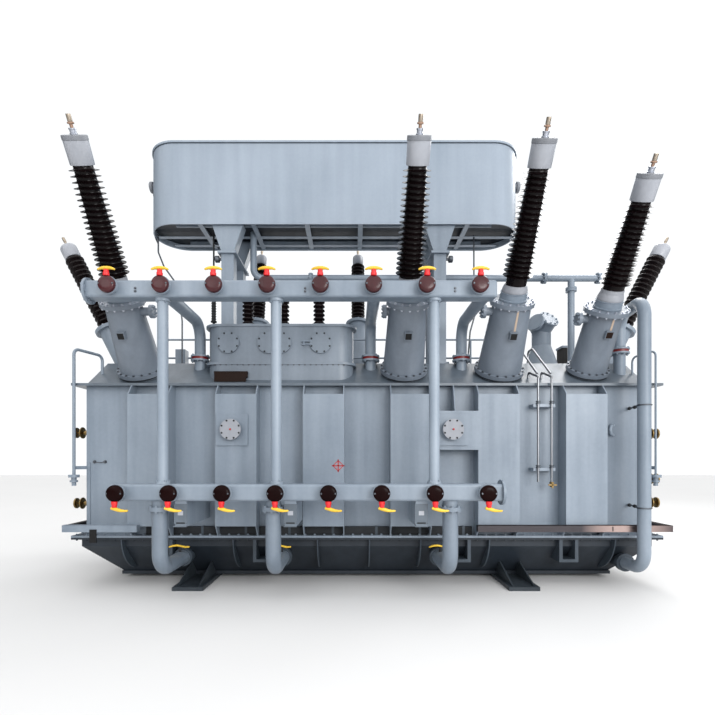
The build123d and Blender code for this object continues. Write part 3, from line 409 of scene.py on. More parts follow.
def grow(name, recipe, mesh, inputs, smooth=None):
    """Run a recipe on a mesh and keep the result as a plain mesh."""
    piece = plain_piece(name, mesh)
    modifier = piece.modifiers.new("grow", "NODES")
    modifier.node_group = recipe.group
    for label, value in inputs.items():
        modifier[recipe.names[label]] = value
    graph = bpy.context.evaluated_depsgraph_get()
    result = bpy.data.meshes.new_from_object(piece.evaluated_get(graph), depsgraph=graph)
    piece.modifiers.remove(modifier)
    piece.data = result
    return keep(piece, smooth)


def seeds(name, places):
    """A mesh of loose points, each with the axis and the side of what stands there."""
    mesh = shape_of(name, [place[0] for place in places])
    for label, index in (("axis", 1), ("side", 2)):
        layer = mesh.attributes.new(label, "FLOAT_VECTOR", "POINT")
        layer.data.foreach_set("vector", [number for place in places for number in place[index]])
    return mesh


def square_to(axis):
    """A direction square to an axis, level where it can be."""
    axis = Vector(axis).normalized()
    level = axis.cross(Vector(up))
    if level.length < 0.01:
        level = Vector(rightwards)
    return level.normalized()


def ring(centre, axis, radius, count, start=0.0):
    """Seeds round a circle, all along its axis."""
    axis = Vector(axis).normalized()
    first = square_to(axis)
    second = axis.cross(first)
    places = []
    for index in range(count):
        angle = start + 2 * pi * index / count
        out = first * cos(angle) + second * sin(angle)
        places.append((Vector(centre) + out * radius, axis, out))
    return places


def row(first, last, count, axis):
    """Seeds along a straight line."""
    first = Vector(first)
    last = Vector(last)
    run = (last - first).normalized()
    return [(first.lerp(last, index / (count - 1)), Vector(axis), run) for index in range(count)]


def bolt_recipe():
    """A hexagon head on a washer."""
    recipe = Recipe("bolt_heads", {"Across": "Float", "Height": "Float", "Material": "Material"})
    across = recipe.given("Across")
    height = recipe.given("Height")
    parts = []
    for corners, radius, low, high in ((6, 0.577, 0.22, 1.0), (12, 0.86, -0.02, 0.24)):
        sizes = {"Vertices": corners, "Radius": across * radius, "Depth": height * (high - low)}
        drum = recipe.add("GeometryNodeMeshCylinder", {"fill_type": "NGON"}, sizes)
        lift = recipe.add("ShaderNodeCombineXYZ", {}, {"Z": height * ((high + low) / 2)})
        parts.append(recipe.add("GeometryNodeTransform", {}, {"Geometry": drum, "Translation": lift}))
    recipe.stand(recipe.add("GeometryNodeJoinGeometry", {}, {0: parts}))
    return recipe


def shed_recipe(name, outline):
    """An insulator whose outline repeats with every shed. The outline is (height, reach) in shares."""
    labels = ("Pitch", "Lead", "Core Foot", "Core Head", "Shed Foot", "Shed Head")
    recipe = Recipe(name, {"Sheds": "Int", **{label: "Float" for label in labels}, "Material": "Material"})
    steps = len(outline)
    sheds = recipe.given("Sheds")
    sizes = {"Vertices": 40, "Side Segments": sheds * steps + 1, "Radius": 1.0, "Depth": 1.0}
    drum = recipe.add("GeometryNodeMeshCylinder", {"fill_type": "NGON"}, sizes)
    place = recipe.add("GeometryNodeInputPosition")
    apart = "ShaderNodeSeparateXYZ"
    flat_x = recipe.add(apart, {}, {0: place}, output=0)
    flat_y = recipe.add(apart, {}, {0: place}, output=1)
    high = recipe.add(apart, {}, {0: place}, output=2)
    level = recipe.maths("ROUND", (high + 0.5) * (sheds * steps + 1))
    inside = recipe.maths("MAXIMUM", level - 1, 0.0)
    index = recipe.maths("FLOOR", inside / steps)
    step = inside - index * steps
    heights = [(number / steps, share[0]) for number, share in enumerate(outline)] + [(1.0, 1.0)]
    reaches = [(number / steps, share[1]) for number, share in enumerate(outline)] + [(1.0, outline[0][1])]
    rise = recipe.add("ShaderNodeFloatCurve", {"curve": heights}, {"Factor": 1.0, "Value": step / steps})
    reach = recipe.add("ShaderNodeFloatCurve", {"curve": reaches}, {"Factor": 1.0, "Value": step / steps})
    taper = recipe.add("ShaderNodeClamp", {}, {0: index / (sheds - 1)})
    core = recipe.given("Core Foot") + taper * (recipe.given("Core Head") - recipe.given("Core Foot"))
    shed = recipe.given("Shed Foot") + taper * (recipe.given("Shed Head") - recipe.given("Shed Foot"))
    radius = core + (shed - core) * reach
    bottom = recipe.maths("LESS_THAN", level, 0.5)
    lift = (index + rise) * recipe.given("Pitch") - bottom * recipe.given("Lead")
    moved = recipe.add("ShaderNodeCombineXYZ", {}, {"X": flat_x * radius, "Y": flat_y * radius, "Z": lift})
    recipe.stand(recipe.add("GeometryNodeSetPosition", {}, {"Geometry": drum, "Position": moved}))
    return recipe


def pipe_recipe():
    """A round tube along every run of edges, with rounded corners."""
    recipe = Recipe("bent_tubes", {"Radius": "Float", "Bend": "Float", "Material": "Material"})
    path = recipe.add("GeometryNodeMeshToCurve", {}, {0: recipe.given("Geometry")})
    corners = {"Curve": path, "Radius": recipe.given("Bend"), "Count": 6, "Limit Radius": True}
    bent = recipe.add("GeometryNodeFilletCurve", {"mode": "POLY"}, corners)
    circle = {"Resolution": 12, "Radius": recipe.given("Radius")}
    section = recipe.add("GeometryNodeCurvePrimitiveCircle", {}, circle)
    wall = {"Curve": bent, "Profile Curve": section, "Fill Caps": True}
    recipe.close(recipe.add("GeometryNodeCurveToMesh", {}, wall))
    return recipe


def routes(name, paths):
    """A mesh of open runs of edges."""
    points = []
    edges = []
    for path in paths:
        start = len(points)
        points.extend(path)
        edges.extend((start + step, start + step + 1) for step in range(len(path) - 1))
    return shape_of(name, points, edges)


def repeat_recipe():
    """One shape, set on every seed."""
    recipe = Recipe("repeated_piece", {"Shape": "Object", "Material": "Material"})
    shape = recipe.given("Shape")
    recipe.stand(recipe.add("GeometryNodeObjectInfo", {}, {"Object": shape}, output="Geometry"))
    return recipe


def repeat(name, shape, places, finish, smooth=35, replaces=None):
    """Set a shape on every place and keep all of them as one piece."""
    pattern = plain_piece(name + "_pattern", shape)
    inputs = {"Shape": pattern, "Material": finish}
    piece = grow(name, repeated, seeds(name + "_seeds", places), inputs, smooth)
    bpy.data.objects.remove(pattern)
    if replaces:
        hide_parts(replaces)


def mm(*points):
    """Points given in millimetres, in metres."""
    return [tuple(number / 1000 for number in point) for point in points]


def skin(name, rings, inside_out=False):
    """A closed shape whose wall joins each ring of points to the next."""
    steps = len(rings[0])
    last = (len(rings) - 1) * steps
    faces = []
    for low in range(0, last, steps):
        for step in range(steps):
            after = (step + 1) % steps
            faces.append((low + step, low + after, low + steps + after, low + steps + step))
    faces += [tuple(reversed(range(steps))), tuple(range(last, last + steps))]
    if inside_out:
        faces = [face[:1] + face[:0:-1] for face in faces]
    return shape_of(name, [point for points in rings for point in points], faces=faces)


def lathe(name, profile, steps=40):
    """Turn a profile of (radius, height) about the z axis."""
    turns = [2 * pi * step / steps for step in range(steps)]
    rings = []
    for radius, height in profile:
        rings.append([(radius * cos(turn), radius * sin(turn), height) for turn in turns])
    return skin(name, rings)


def flat_sweep(name, stations, steps=12):
    """A rounded bar in the xz plane. Stations are (x, z, half thickness, half width)."""
    centres = [Vector((x, 0, z)) for x, z, thick, wide in stations]
    turns = [2 * pi * step / steps for step in range(steps)]
    rings = []
    for index, (x, z, thick, wide) in enumerate(stations):
        run = (centres[min(index + 1, len(centres) - 1)] - centres[max(index - 1, 0)]).normalized()
        out = Vector((-run.z, 0, run.x)) * thick
        rings.append([centres[index] + out * sin(turn) + Vector((0, wide * cos(turn), 0)) for turn in turns])
    return skin(name, rings, inside_out=True)


def slabs(name, blocks, finish):
    """Flat bars and plates, each given as (corner, three edges from it)."""
    points = []
    faces = []
    for corner, *edges in blocks:
        first, second, third = (Vector(edge) for edge in edges)
        if first.cross(second).dot(third) < 0:
            first, second = second, first
        start = len(points)
        near = Vector(corner)
        for base in (near, near + third):
            points.extend([base, base + first, base + first + second, base + second])
        for quad in ((3, 2, 1, 0), (4, 5, 6, 7), (0, 1, 5, 4), (1, 2, 6, 5), (2, 3, 7, 6), (3, 0, 4, 7)):
            faces.append(tuple(start + number for number in quad))
    mesh = shape_of(name, points, faces=faces)
    mesh.materials.append(finish)
    return keep(plain_piece(name, mesh))


bolts = bolt_recipe()
tubes = pipe_recipe()
repeated = repeat_recipe()


def turned(name, profile, places, finish, steps=40, smooth=35, replaces=None):
    """A turned shape on every place."""
    repeat(name, lathe(name + "_shape", profile, steps), places, finish, smooth, replaces)


def bolted(name, places, across, height, finish):
    """Bolt heads on every place."""
    sizes = {"Across": across, "Height": height, "Material": finish}
    return grow(name, bolts, seeds(name + "_seeds", places), sizes)


def pipes(name, paths, radius, bend, finish):
    """Round tubes along open runs of points."""
    sizes = {"Radius": radius, "Bend": bend, "Material": finish}
    return grow(name, tubes, routes(name + "_runs", paths), sizes, 40)


def porcelain(name, recipe, places, count, pitch, lead, radii, smooth, node):
    """Insulators of one kind. The radii are those of the core and of the sheds, at the foot and the head."""
    sizes = {"Sheds": count, "Pitch": pitch, "Lead": lead, "Material": brown_glaze}
    sizes.update(zip(("Core Foot", "Core Head", "Shed Foot", "Shed Head"), radii))
    piece = grow(name, recipe, seeds(name + "_seeds", places), sizes, smooth)
    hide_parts(node)


def block(x, y, z, width, depth, height):
    """An upright block for slabs, from its lower left front corner."""
    return (x, y, z), (width, 0, 0), (0, depth, 0), (0, 0, height)


def facing(places, axis):
    """Seeds that share an axis and have their side to the right."""
    return [(place, axis, rightwards) for place in places]


def along_axes(bases, height):
    """Seeds at one height along each (foot, axis)."""
    return [(Vector(foot) + Vector(axis) * height, Vector(axis), square_to(axis)) for foot, axis in bases]


def both_faces(centre, axis, low, high, radius):
    """Bolt seeds on the two outer faces of a pair of flanges, which lie at two heights along the axis."""
    centre = Vector(centre)
    axis = Vector(axis)
    return ring(centre + axis * high, axis, radius, 8) + ring(centre + axis * low, -axis, radius, 8)


def oval(reach, height):
    """Points round the conservator, as far from its middle line as the reach."""
    points = []
    for side in (1, -1):
        for step in range(17):
            angle = pi * step / 16 - pi / 2
            x = conservator_x + side * (conservator_half + reach * cos(angle))
            points.append((x, relay_y + side * reach * sin(angle), height))
    return points


# Axes of the bushings
hv_axis = Vector((0, -sin(roof_lean), cos(roof_lean)))
hv_front = Vector((0, -cos(roof_lean), -sin(roof_lean)))
hv_depth = 0.25
hv_foot_z = rim_top + hv_depth * tan(roof_lean)
hv_feet = [Vector((x, front + hv_depth, hv_foot_z)) for x in (-2.867, 0.474, 1.692, 2.822)]
hv_heads = (0.89, 0.89, 0.89, 0.80)
hv_leads = (0.114, 0.112, 0.090, 0.098)
hv_sheds = (20, 20, 20, 16)
hv_pitch = 0.052
turret_feet = (0.255, 0.26, 0.27, 0.22)
turret_tops = (0.2025, 0.22, 0.22, 0.20)
turret_skirt = 0.09
top_flange = 0.046
collar_height = 0.175
end_lean = radians(27)
end_height = 0.604
end_sheds = 16
end_pitch = 0.068
rear_lean = radians(15)
rear_height = 0.904
rear_sheds = 18
rear_pitch = 0.060
end_bases = []
for side in (-1, 1):
    axis = Vector((side * sin(end_lean), 0, cos(end_lean)))
    end_bases.append((Vector((side * (wall_end - 0.16), front + 0.75, roof_top)) + axis * end_height, axis))
rear_axis = Vector((0, sin(rear_lean), cos(rear_lean)))
rear_rise = rear_axis * rear_height
rear_bases = [(Vector((x, front + 1.45, roof_top)) + rear_rise, rear_axis) for x in (-1.69, -0.09)]
lv_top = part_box("lv_box")[1].z
lv_bases = [(Vector((x, front + 0.305, lv_top)), up) for x in (-1.53, -1.07, -0.61)]

# Porcelain: thin drooping sheds on the high-voltage bushings, shallow waves on the others
thin_outline = [(0.0, 0.0), (0.08, 0.03), (0.14, 0.20), (0.16, 0.60), (0.15, 0.97)]
thin_outline += [(0.20, 1.0), (0.27, 0.62), (0.36, 0.16), (0.50, 0.0)]
wave_outline = [(0.0, 0.0), (0.10, 0.20), (0.20, 0.66), (0.30, 0.94)]
wave_outline += [(0.40, 1.0), (0.54, 0.90), (0.70, 0.56), (0.86, 0.16)]
thin_shed = shed_recipe("thin_sheds", thin_outline)
wave_shed = shed_recipe("wave_sheds", wave_outline)
hv_radii = (0.115, 0.094, 0.164, 0.144)
cap_bases = []
for number, (foot, head, lead, count) in enumerate(zip(hv_feet, hv_heads, hv_leads, hv_sheds), start=1):
    start = foot + hv_axis * (head + top_flange + collar_height + lead)
    cap_bases.append((start + hv_axis * (count * hv_pitch), hv_axis))
    places = facing([start], hv_axis)
    name = f"hv_porcelain_{number}"
    porcelain(name, thin_shed, places, count, hv_pitch, lead, hv_radii, 50, "hv_porcelains")
for name, bases, count, pitch, core, shed, node in (
    ("end_bushing_porcelain", end_bases, end_sheds, end_pitch, 0.093, 0.121, "end_porcelains"),
    ("rear_bushing_porcelain", rear_bases, rear_sheds, rear_pitch, 0.075, 0.108, "rear_porcelains"),
    ("lv_porcelain", lv_bases, 6, 0.055, 0.048, 0.075, "lv_bushings"),
):
    porcelain(name, wave_shed, along_axes(bases, 0), count, pitch, 0.0, (core, core, shed, shed), 60, node)

# Collars: a grey neck with a white band above it
collar_bases = [(foot + hv_axis * (head + top_flange), hv_axis) for foot, head in zip(hv_feet, hv_heads)]
collar_places = along_axes(collar_bases, 0)
neck_profile = mm((150, 0), (156, 3), (156, 20), (149, 24), (149, 84), (155, 88), (155, 94), (130, 96))
band_profile = mm((135, 94), (142, 96), (144, 100), (141.5, 125), (128, 168), (125, 174), (112, 175))
turned("collar_necks", neck_profile, collar_places, tank_grey, replaces="hv_collars")
turned("collar_bands", band_profile, collar_places, collar_white, replaces="hv_collars")

# Caps with a knurled top ring, and terminals of a pillar, a copper neck and a lug
cap_places = along_axes(cap_bases, 0)
cap_profile = mm((100, 0), (111, 1), (114.5, 6), (116.5, 204), (110, 207))
knurl_profile = mm((112, 204.5), (119, 206), (120, 210), (120, 241), (118, 247), (110, 250), (30, 250))
knurl_shape = lathe("cap_ring", knurl_profile, 72)
for vertex in knurl_shape.vertices:
    if vertex.index % 2 and 0.208 < vertex.co.z < 0.246:
        vertex.co.x *= 0.9875
        vertex.co.y *= 0.9875
turned("hv_cap_bodies", cap_profile, cap_places, cap_grey, 56, replaces="hv_caps")
repeat("hv_cap_rings", knurl_shape, cap_places, ring_grey, replaces="hv_caps")
pillar_profile = mm((30, 249), (35, 251), (35, 262), (29, 265), (29, 288), (34, 291), (34, 304), (16, 306))
stalk_profile = mm((16, 304), (16, 332), (30, 335), (32, 339), (32, 347), (29, 351), (18, 353))
lug_profile = mm((18, 350), (22, 353), (23, 358), (23, 409), (21.5, 414), (18, 415), (4, 415))
for name, profile, finish in (
    ("terminal_pillars", pillar_profile, pale_steel),
    ("terminal_necks", stalk_profile, copper),
    ("terminal_lugs", lug_profile, lug_metal),
):
    turned(name, profile, cap_places, finish, 28, replaces="hv_terminals")

# Caps of the other bushings
end_cap = mm((95, 0), (103, 2), (107, 8), (107, 150), (104, 166), (94, 182), (70, 195), (30, 200))
end_stud = mm((28, 196), (28, 214), (16, 217), (16, 262), (20, 266), (20, 325), (17, 330), (3, 330))
rear_cap = [(radius * 0.79, height * 0.9) for radius, height in end_cap]
rear_stud = [(radius, height - 0.02) for radius, height in end_stud]
for kind, bases, length, cap, stud in (
    ("end", end_bases, end_sheds * end_pitch, end_cap, end_stud),
    ("rear", rear_bases, rear_sheds * rear_pitch, rear_cap, rear_stud),
):
    tops = along_axes(bases, length)
    turned(f"{kind}_cap_bodies", cap, tops, cap_grey, replaces=f"{kind}_caps")
    turned(f"{kind}_cap_studs", stud, tops, lug_metal, 24, replaces=f"{kind}_caps")

# Dark rings under the turrets as painted shadow below their flanges, faces of the terminal boxes and
# earthing strips up to the top flanges
box_level = 0.6
box_reach = 0.022
box_width = 0.072
strip_foot = 0.645
strip_offset = Vector((0.004, 0, 0))
box_faces = []
strips = []
for number, (foot, head, low, high) in enumerate(zip(hv_feet, hv_heads, turret_feet, turret_tops), start=1):
    # A dark ring just under the flange: painted shadow
    foot_shadow_profile = [(low, 0.024), (low + 0.030, 0.026), (low + 0.031, 0.039), (low, 0.0395)]
    turned(f"turret_gasket_{number}", foot_shadow_profile, facing([foot], hv_axis), gasket_black, 64)
    corner = foot + hv_axis * (box_level - box_width / 2) + hv_front * (low + box_reach)
    corner -= Vector((box_width / 2, 0, 0))
    box_faces.append((corner, (box_width, 0, 0), hv_axis * box_width, hv_front * 0.003))
    if number > 2:
        ends = []
        for height in (strip_foot, head):
            reach = low + (high - low) * (height - turret_skirt) / (head - turret_skirt)
            ends.append(foot + hv_axis * height + hv_front * (reach - 0.001) + strip_offset)
        strips.append((ends[0], (0.022, 0, 0), ends[1] - ends[0], hv_front * 0.004))
slabs("terminal_box_faces", box_faces[:3], black_plastic)
slabs("terminal_box_face_4", box_faces[3:], rust_brown)
slabs("earthing_strips", strips, strip_tan)

# Radiator valves: domed plates, red stems and yellow levers
valve_pitch = 0.547
upper_valves = [Vector((-2.693 + valve_pitch * index, valve_y, upper_header_z)) for index in range(8)]
lower_valves = [Vector((-2.610 + valve_pitch * index, valve_y, lower_header_z)) for index in range(8)]
plate_profile = mm((84, 0), (87, 2), (87, 26), (85, 34), (77, 42), (57, 48), (30, 49.8), (3, 50))
# Upper plates lighter as painted reflection, lower plates darker as painted shade
for name, valves, finish in (("upper", upper_valves, disc_maroon), ("lower", lower_valves, disc_shade_maroon)):
    plates = facing(valves, forwards)
    turned(f"{name}_valve_plates", plate_profile, plates, finish, 48, 50, "valve_discs")
stem_profile = mm((26, 80), (31, 83), (31, 112), (26, 115), (26, 138), (24, 143), (4, 143))
stem_shift = Vector((0, -0.025, 0))
upper_stems = facing([place + stem_shift for place in upper_valves], up)
lower_stems = facing([place + stem_shift for place in lower_valves], down)
stems = upper_stems + lower_stems
turned("valve_stem_rods", stem_profile, stems, stem_red, 24, replaces="valve_stems")
half_arch = mm((20, 162, 18, 20), (55, 159, 13, 17), (84, 148, 10, 13), (88, 143, 4, 6))
other_half = [(-x, z, thick, wide) for x, z, thick, wide in reversed(half_arch)]
bend = mm(
    (-36, 146, 7, 10), (-30, 149, 16, 18), (4, 156, 20, 20), (36, 167, 19, 20), (68, 175, 16, 18),
    (105, 178, 12, 16), (134, 176, 10, 13), (140, 174, 4, 6),
)
arched_lever = flat_sweep("arched_lever", other_half + half_arch)
bent_lever = flat_sweep("bent_lever", bend)
repeat("upper_valve_levers", arched_lever, upper_stems, lever_yellow, 50, "valve_levers")
repeat("lower_valve_levers", bent_lever, lower_stems, lever_yellow, 50, "valve_levers")
screws = []
for place in upper_valves + lower_valves:
    screws += [place + Vector((side * 0.070, -0.043, 0)) for side in (1, -1)]
bolted("plate_screws", facing(screws, forwards), 0.012, 0.007, bolt_steel)

# Levers of the drain valves, each on a short stem
drain_valves = facing([Vector((x, front - 0.185, 0.352)) for x in downpipe_places], up)
wave = mm(
    (-135, 135, 4, 8), (-125, 140, 10, 15), (-85, 152, 12, 18), (-35, 158, 13, 18), (15, 148, 12, 18),
    (62, 138, 12, 18), (105, 141, 10, 15), (113, 142, 4, 8),
)
drain_stem = mm((16, 78), (16, 128), (24, 131), (24, 142), (10, 144))
wavy_lever = flat_sweep("wavy_lever", wave)
repeat("drain_valve_levers", wavy_lever, drain_valves, lever_yellow, 50)
turned("drain_valve_stems", drain_stem, drain_valves, gasket_black, 20)

# Flange of the oil pipe over its red ring
oil_foot = Vector((wall_end - 0.18, front + 0.283, 2.942))
oil_flange = mm((70.8, 0), (116, 0.5), (118, 2), (118, 18), (116, 20), (70.8, 20.5))
turned("oil_pipe_flange", oil_flange, facing([oil_foot], up), tank_grey)

# Bolts: small dark heads on the turret feet and covers
lv_front = front + 0.10
cover_y = lv_front - 0.026
cover_z = 2.995
cover_circle = 0.122
long_cover_x = -1.1525
cover_bolts = []
for x in (-1.73, -0.575):
    cover_bolts += ring((x, cover_y, cover_z), forwards, cover_circle, 8, pi / 8)
for side in (-1, 1):
    half = ring((long_cover_x + side * 0.075, cover_y, cover_z), forwards, cover_circle, 8, pi / 8)
    cover_bolts += [place for place in half if (place[0].x - long_cover_x) * side > 0.04]
for place in hand_holes:
    cover_bolts += ring(place, forwards, 0.108, 8, pi / 8)
bolted("cover_bolts", cover_bolts, 0.013, 0.010, gasket_black)
lv_base_y = lv_front + 0.004
lv_base_z = 2.724
foot_bolts = []
for foot, low in zip(hv_feet, turret_feet):
    foot_bolts += ring(foot + hv_axis * turret_skirt, hv_axis, low + 0.021, 18, 0.2)
foot_bolts += row((-1.90, lv_base_y, lv_base_z), (-0.28, lv_base_y, lv_base_z), 24, down)
bolted("foot_bolts", foot_bolts, 0.018, 0.013, bolt_steel)

# Bright heads on the top flanges of the turrets
top_bolts = []
for foot, head in zip(hv_feet, hv_heads):
    top_bolts += ring(foot + hv_axis * (head + top_flange), hv_axis, 0.226, 16)
    top_bolts += ring(foot + hv_axis * head, -hv_axis, 0.238, 16)
for bases, radius in ((end_bases, 0.163), (rear_bases, 0.166)):
    for foot, axis in bases:
        top_bolts += ring(foot, axis, radius, 12)
bolted("top_bolts", top_bolts, 0.020, 0.018, pale_steel)

# Heads over and under the joint of the tank
joint_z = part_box("upper_tank")[0].z
joint_top = joint_z + 0.024
joint_foot = joint_z - 0.024
joint_reach = 0.075
span = wall_end + joint_reach
# Heads under the joint take the hull's darker grey, painted shade
joint_faces = (("upper", joint_top, up, tank_grey), ("lower", joint_foot, down, hull_shade_grey))
for name, height, axis, finish in joint_faces:
    joint_bolts = []
    for y in (front - joint_reach, rear + joint_reach):
        joint_bolts += row((-span, y, height), (span, y, height), 62, axis)
    for x in (-span, span):
        joint_bolts += row((x, front + 0.04, height), (x, rear - 0.04, height), 18, axis)
    bolted(f"{name}_joint_bolts", joint_bolts, 0.022, 0.017, finish)

# Painted heads on the pipe flanges, and bright ones on the valve flanges
pipe_circle = 0.101
riser_depth = 0.394
riser_z = rim_top + riser_depth * tan(roof_lean)
pipe_bolts = []
for x in downpipe_places:
    pipe_bolts += both_faces((x, header_y, 0), up, 0.985, 1.029, pipe_circle)
upper_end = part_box("upper_header")[0].x
lower_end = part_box("lower_header")[1].x
for x, z, way in ((upper_end, upper_header_z, -1), (lower_end, lower_header_z, 1)):
    pipe_bolts += ring((x, header_y, z), (way, 0, 0), 0.1125, 8, pi / 8)
for x in (-2.18, 0.06, 1.255):
    pipe_bolts += both_faces((x, front + riser_depth, riser_z), up, 0.080, 0.152, pipe_circle)
pipe_bolts += both_faces(oil_foot, up, -0.052, 0.020, pipe_circle)
for foot, head, side, reach in zip(hv_feet, hv_heads, (1, -1, -1, -1), (0.34, 0.29, 0.336, 0.318)):
    branch = foot + hv_axis * (head - 0.09) + Vector((side * reach, 0, 0))
    pipe_bolts += ring(branch, (side, 0, 0), 0.060, 8)
for x in (-0.785, wall_end - 0.92, wall_end - 0.15):
    pipe_bolts += both_faces((x, relay_y, relay_z), rightwards, 0, 0.03, 0.062)
neck_lean = radians(50)
neck_axis = Vector((sin(neck_lean) * 0.35, -sin(neck_lean), cos(neck_lean))).normalized()
neck_face = Vector((wall_end - 0.82, front + 1.2, roof_top + 0.64)) + neck_axis * 0.21
pipe_bolts += ring(neck_face, neck_axis, 0.126, 10)
for x in link_places:
    for height, axis in ((1.30, up), (3.213, down)):
        pipe_bolts += ring((x, header_y, height), axis, 0.066, 4, pi / 4)
bolted("pipe_bolts", pipe_bolts, 0.020, 0.016, tank_grey)
valve_bolts = []
for place in upper_valves + lower_valves:
    valve_bolts += ring(place + Vector((0, 0.026, 0)), backwards, 0.080, 4, pi / 4)
bolted("valve_bolts", valve_bolts, 0.016, 0.012, bright_steel)

# Brass valves with hand wheels on the end walls
wall_valves = []
for side, heights in ((-1, (0.98, 1.87)), (1, (0.99, 1.29, 1.86))):
    wall_valves += [((side * wall_end, front + 0.17, z), (side, 0, 0), backwards) for z in heights]
valve_profile = mm(
    (36, 0), (38, 2), (38, 20), (26, 26), (26, 58), (46, 62), (46, 80), (28, 84), (28, 116), (12, 119),
    (12, 135), (60, 137), (72, 140), (73, 145), (72, 150), (60, 153), (18, 154),
)
wheel_profile = mm((12, 150), (12, 205), (50, 207), (66, 212), (66, 228), (50, 234), (20, 236))
turned("brass_wall_valves", valve_profile, wall_valves, valve_brass, 32, 35, "end_wall_valves")

# Sampling pipes: a tap with a cross handle, painted brackets and collars
tap = Vector((sample_places[1], sample_y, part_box("sample_pipes")[0].z))
tap_profile = mm((10, -62), (22, -60), (22, -46), (15, -43), (15, -24), (26, -21), (26, -4), (14, 0))
turned("sampling_taps", tap_profile, facing([tap], up), valve_brass, 20)
handle = [
    block(tap.x - 0.05, tap.y - 0.032, tap.z - 0.044, 0.10, 0.012, 0.016),
    block(tap.x - 0.008, tap.y - 0.032, tap.z - 0.074, 0.016, 0.012, 0.072),
    block(tap.x - 0.007, tap.y - 0.022, tap.z - 0.043, 0.014, 0.012, 0.014),
]
slabs("tap_handle", handle, valve_brass)
turned("wall_valve_wheels", wheel_profile, wall_valves, valve_brass, 32)
skin_left = sample_x - 0.131
skins = []
collars = []
for level in (1.398, 2.165):
    skins.append(block(skin_left, front - 0.1468, level - 0.001, 0.262, 0.1466, 0.036))
    collars += facing([(x, sample_y, level) for x in sample_places], up)
slabs("sample_bracket_skins", skins, tank_grey)
collar_profile = mm((13.7, 36), (28, 37), (28, 46), (19, 48), (19, 57), (28, 59), (28, 68), (13.7, 69))
turned("sample_pipe_collars", collar_profile, collars, bolt_steel, 24)

# Level gauges: a grey rim with a pale face
gauge_reach = conservator_half + 0.40
rim_profile = mm((52, -12), (52, 26), (73, 30), (75, 34), (75, 66), (70, 72), (60, 72))
face_profile = mm((62, 66), (61, 70), (4, 71))
gauges = [((conservator_x + side * gauge_reach, relay_y, 5.4), (side, 0, 0), backwards) for side in (-1, 1)]
turned("gauge_rims", rim_profile, gauges, ring_grey, replaces="level_gauges")
turned("gauge_faces", face_profile, gauges, pale_steel, replaces="level_gauges")

# Breather: ribs round a slim body
breather_profile = [(0.016, 3.41), (0.016, 3.43), (0.041, 3.432), (0.041, 3.45)]
for index in range(9):
    low = 3.456 + index * 0.036
    breather_profile += [(0.027, low), (0.027, low + 0.012), (0.033, low + 0.016), (0.033, low + 0.028)]
breather_profile += [(0.041, 3.782), (0.041, 3.798), (0.012, 3.80), (0.012, 4.76)]
breather = facing([(-2.1, front + 0.72, 0)], up)
turned("breather_body", breather_profile, breather, gasket_black, 28, replaces="breather")

# Rail behind the conservator posts, and conduits down from the conservator
rail_y = front + 1.28
rail_top = 3.336
rail_posts = (-3.05, -2.0, -0.75, 0.45, 1.6, 2.25)
rails = [[(rail_posts[0], rail_y, height), (rail_posts[-1], rail_y, height)] for height in (rail_top, 3.06)]
rails += [[(x, rail_y, roof_top - 0.005), (x, rail_y, rail_top)] for x in rail_posts]
pipes("roof_rail", rails, 0.014, 0.0, tank_grey)
conduits = (
    [(-2.94, 4.72), (-2.94, 4.48), (-2.86, 4.28), (-2.66, 4.0), (-2.6, 3.5), (-2.6, roof_top)],
    [(1.547, 4.72), (1.55, 4.0), (1.594, 3.7), (1.495, 3.35), (1.45, roof_top)],
    [(-3.01, 5.345), (-2.99, 5.2), (-2.985, 4.70), (-2.94, 4.60)],
)
conduit_paths = [[(x, relay_y, z) for x, z in conduit] for conduit in conduits]
pipes("conduits", conduit_paths, 0.011, 0.10, bolt_steel)

# Clamps of the oil pipe, a hook, the upper runs of the sampling pipes and a short chain
oil_x = wall_end - 0.27
oil_y = front - 0.373
clamp_radius = 0.0745
strut = Vector((0.035, 0.301, 0))
turns = [2 * pi * step / 16 for step in range(17)]
loop = [Vector((clamp_radius * cos(turn), clamp_radius * sin(turn), 0)) for turn in turns]
clamps = []
nuts = []
for level in (2.158, 0.975):
    clamps.append([Vector((oil_x, oil_y, level)) + out for out in loop])
    start = Vector((oil_x, front - strut.y, level))
    clamps.append([start, start + strut])
    nuts += [(start + strut * share, strut.normalized(), up) for share in (0.45, 0.88)]
pipes("pipe_clamps", clamps, 0.008, 0.0, bolt_steel)
hook = [(3.035, front + 0.004, 1.955), (2.985, front - 0.04, 1.945), (2.965, front - 0.055, 1.893)]
hook += [(2.985, front - 0.04, 1.842), (3.035, front + 0.004, 1.832)]
pipes("wall_hook", [hook], 0.018, 0.03, link_lit_grey)
nut_profile = mm((7, -14), (22, -12), (22, 12), (7, 14))
turned("clamp_nuts", nut_profile, nuts, gasket_black, 6)
run = [(-0.13, 2.567), (-0.09, 2.60), (0.44, 3.0), (0.60, 3.0), (0.60, roof_top - 0.004)]
sample_tops = [[(x, front + depth, z) for depth, z in run] for x in sample_places]
pipes("sample_pipe_tops", sample_tops, 0.0135, 0.06, bright_steel)
chain_y = front - 0.018
links = [(-3.348, 1.505), (-3.31, 1.497), (-3.283, 1.495), (-3.25, 1.497), (-3.219, 1.505)]
pipes("short_chain", [[(x, chain_y, z) for x, z in links]], 0.005, 0.02, bolt_steel)
chain_ends = [(x, front, z) for x, z in (links[0], links[-1])]
bolted("chain_bolts", facing(chain_ends, forwards), 0.024, 0.024, bolt_steel)

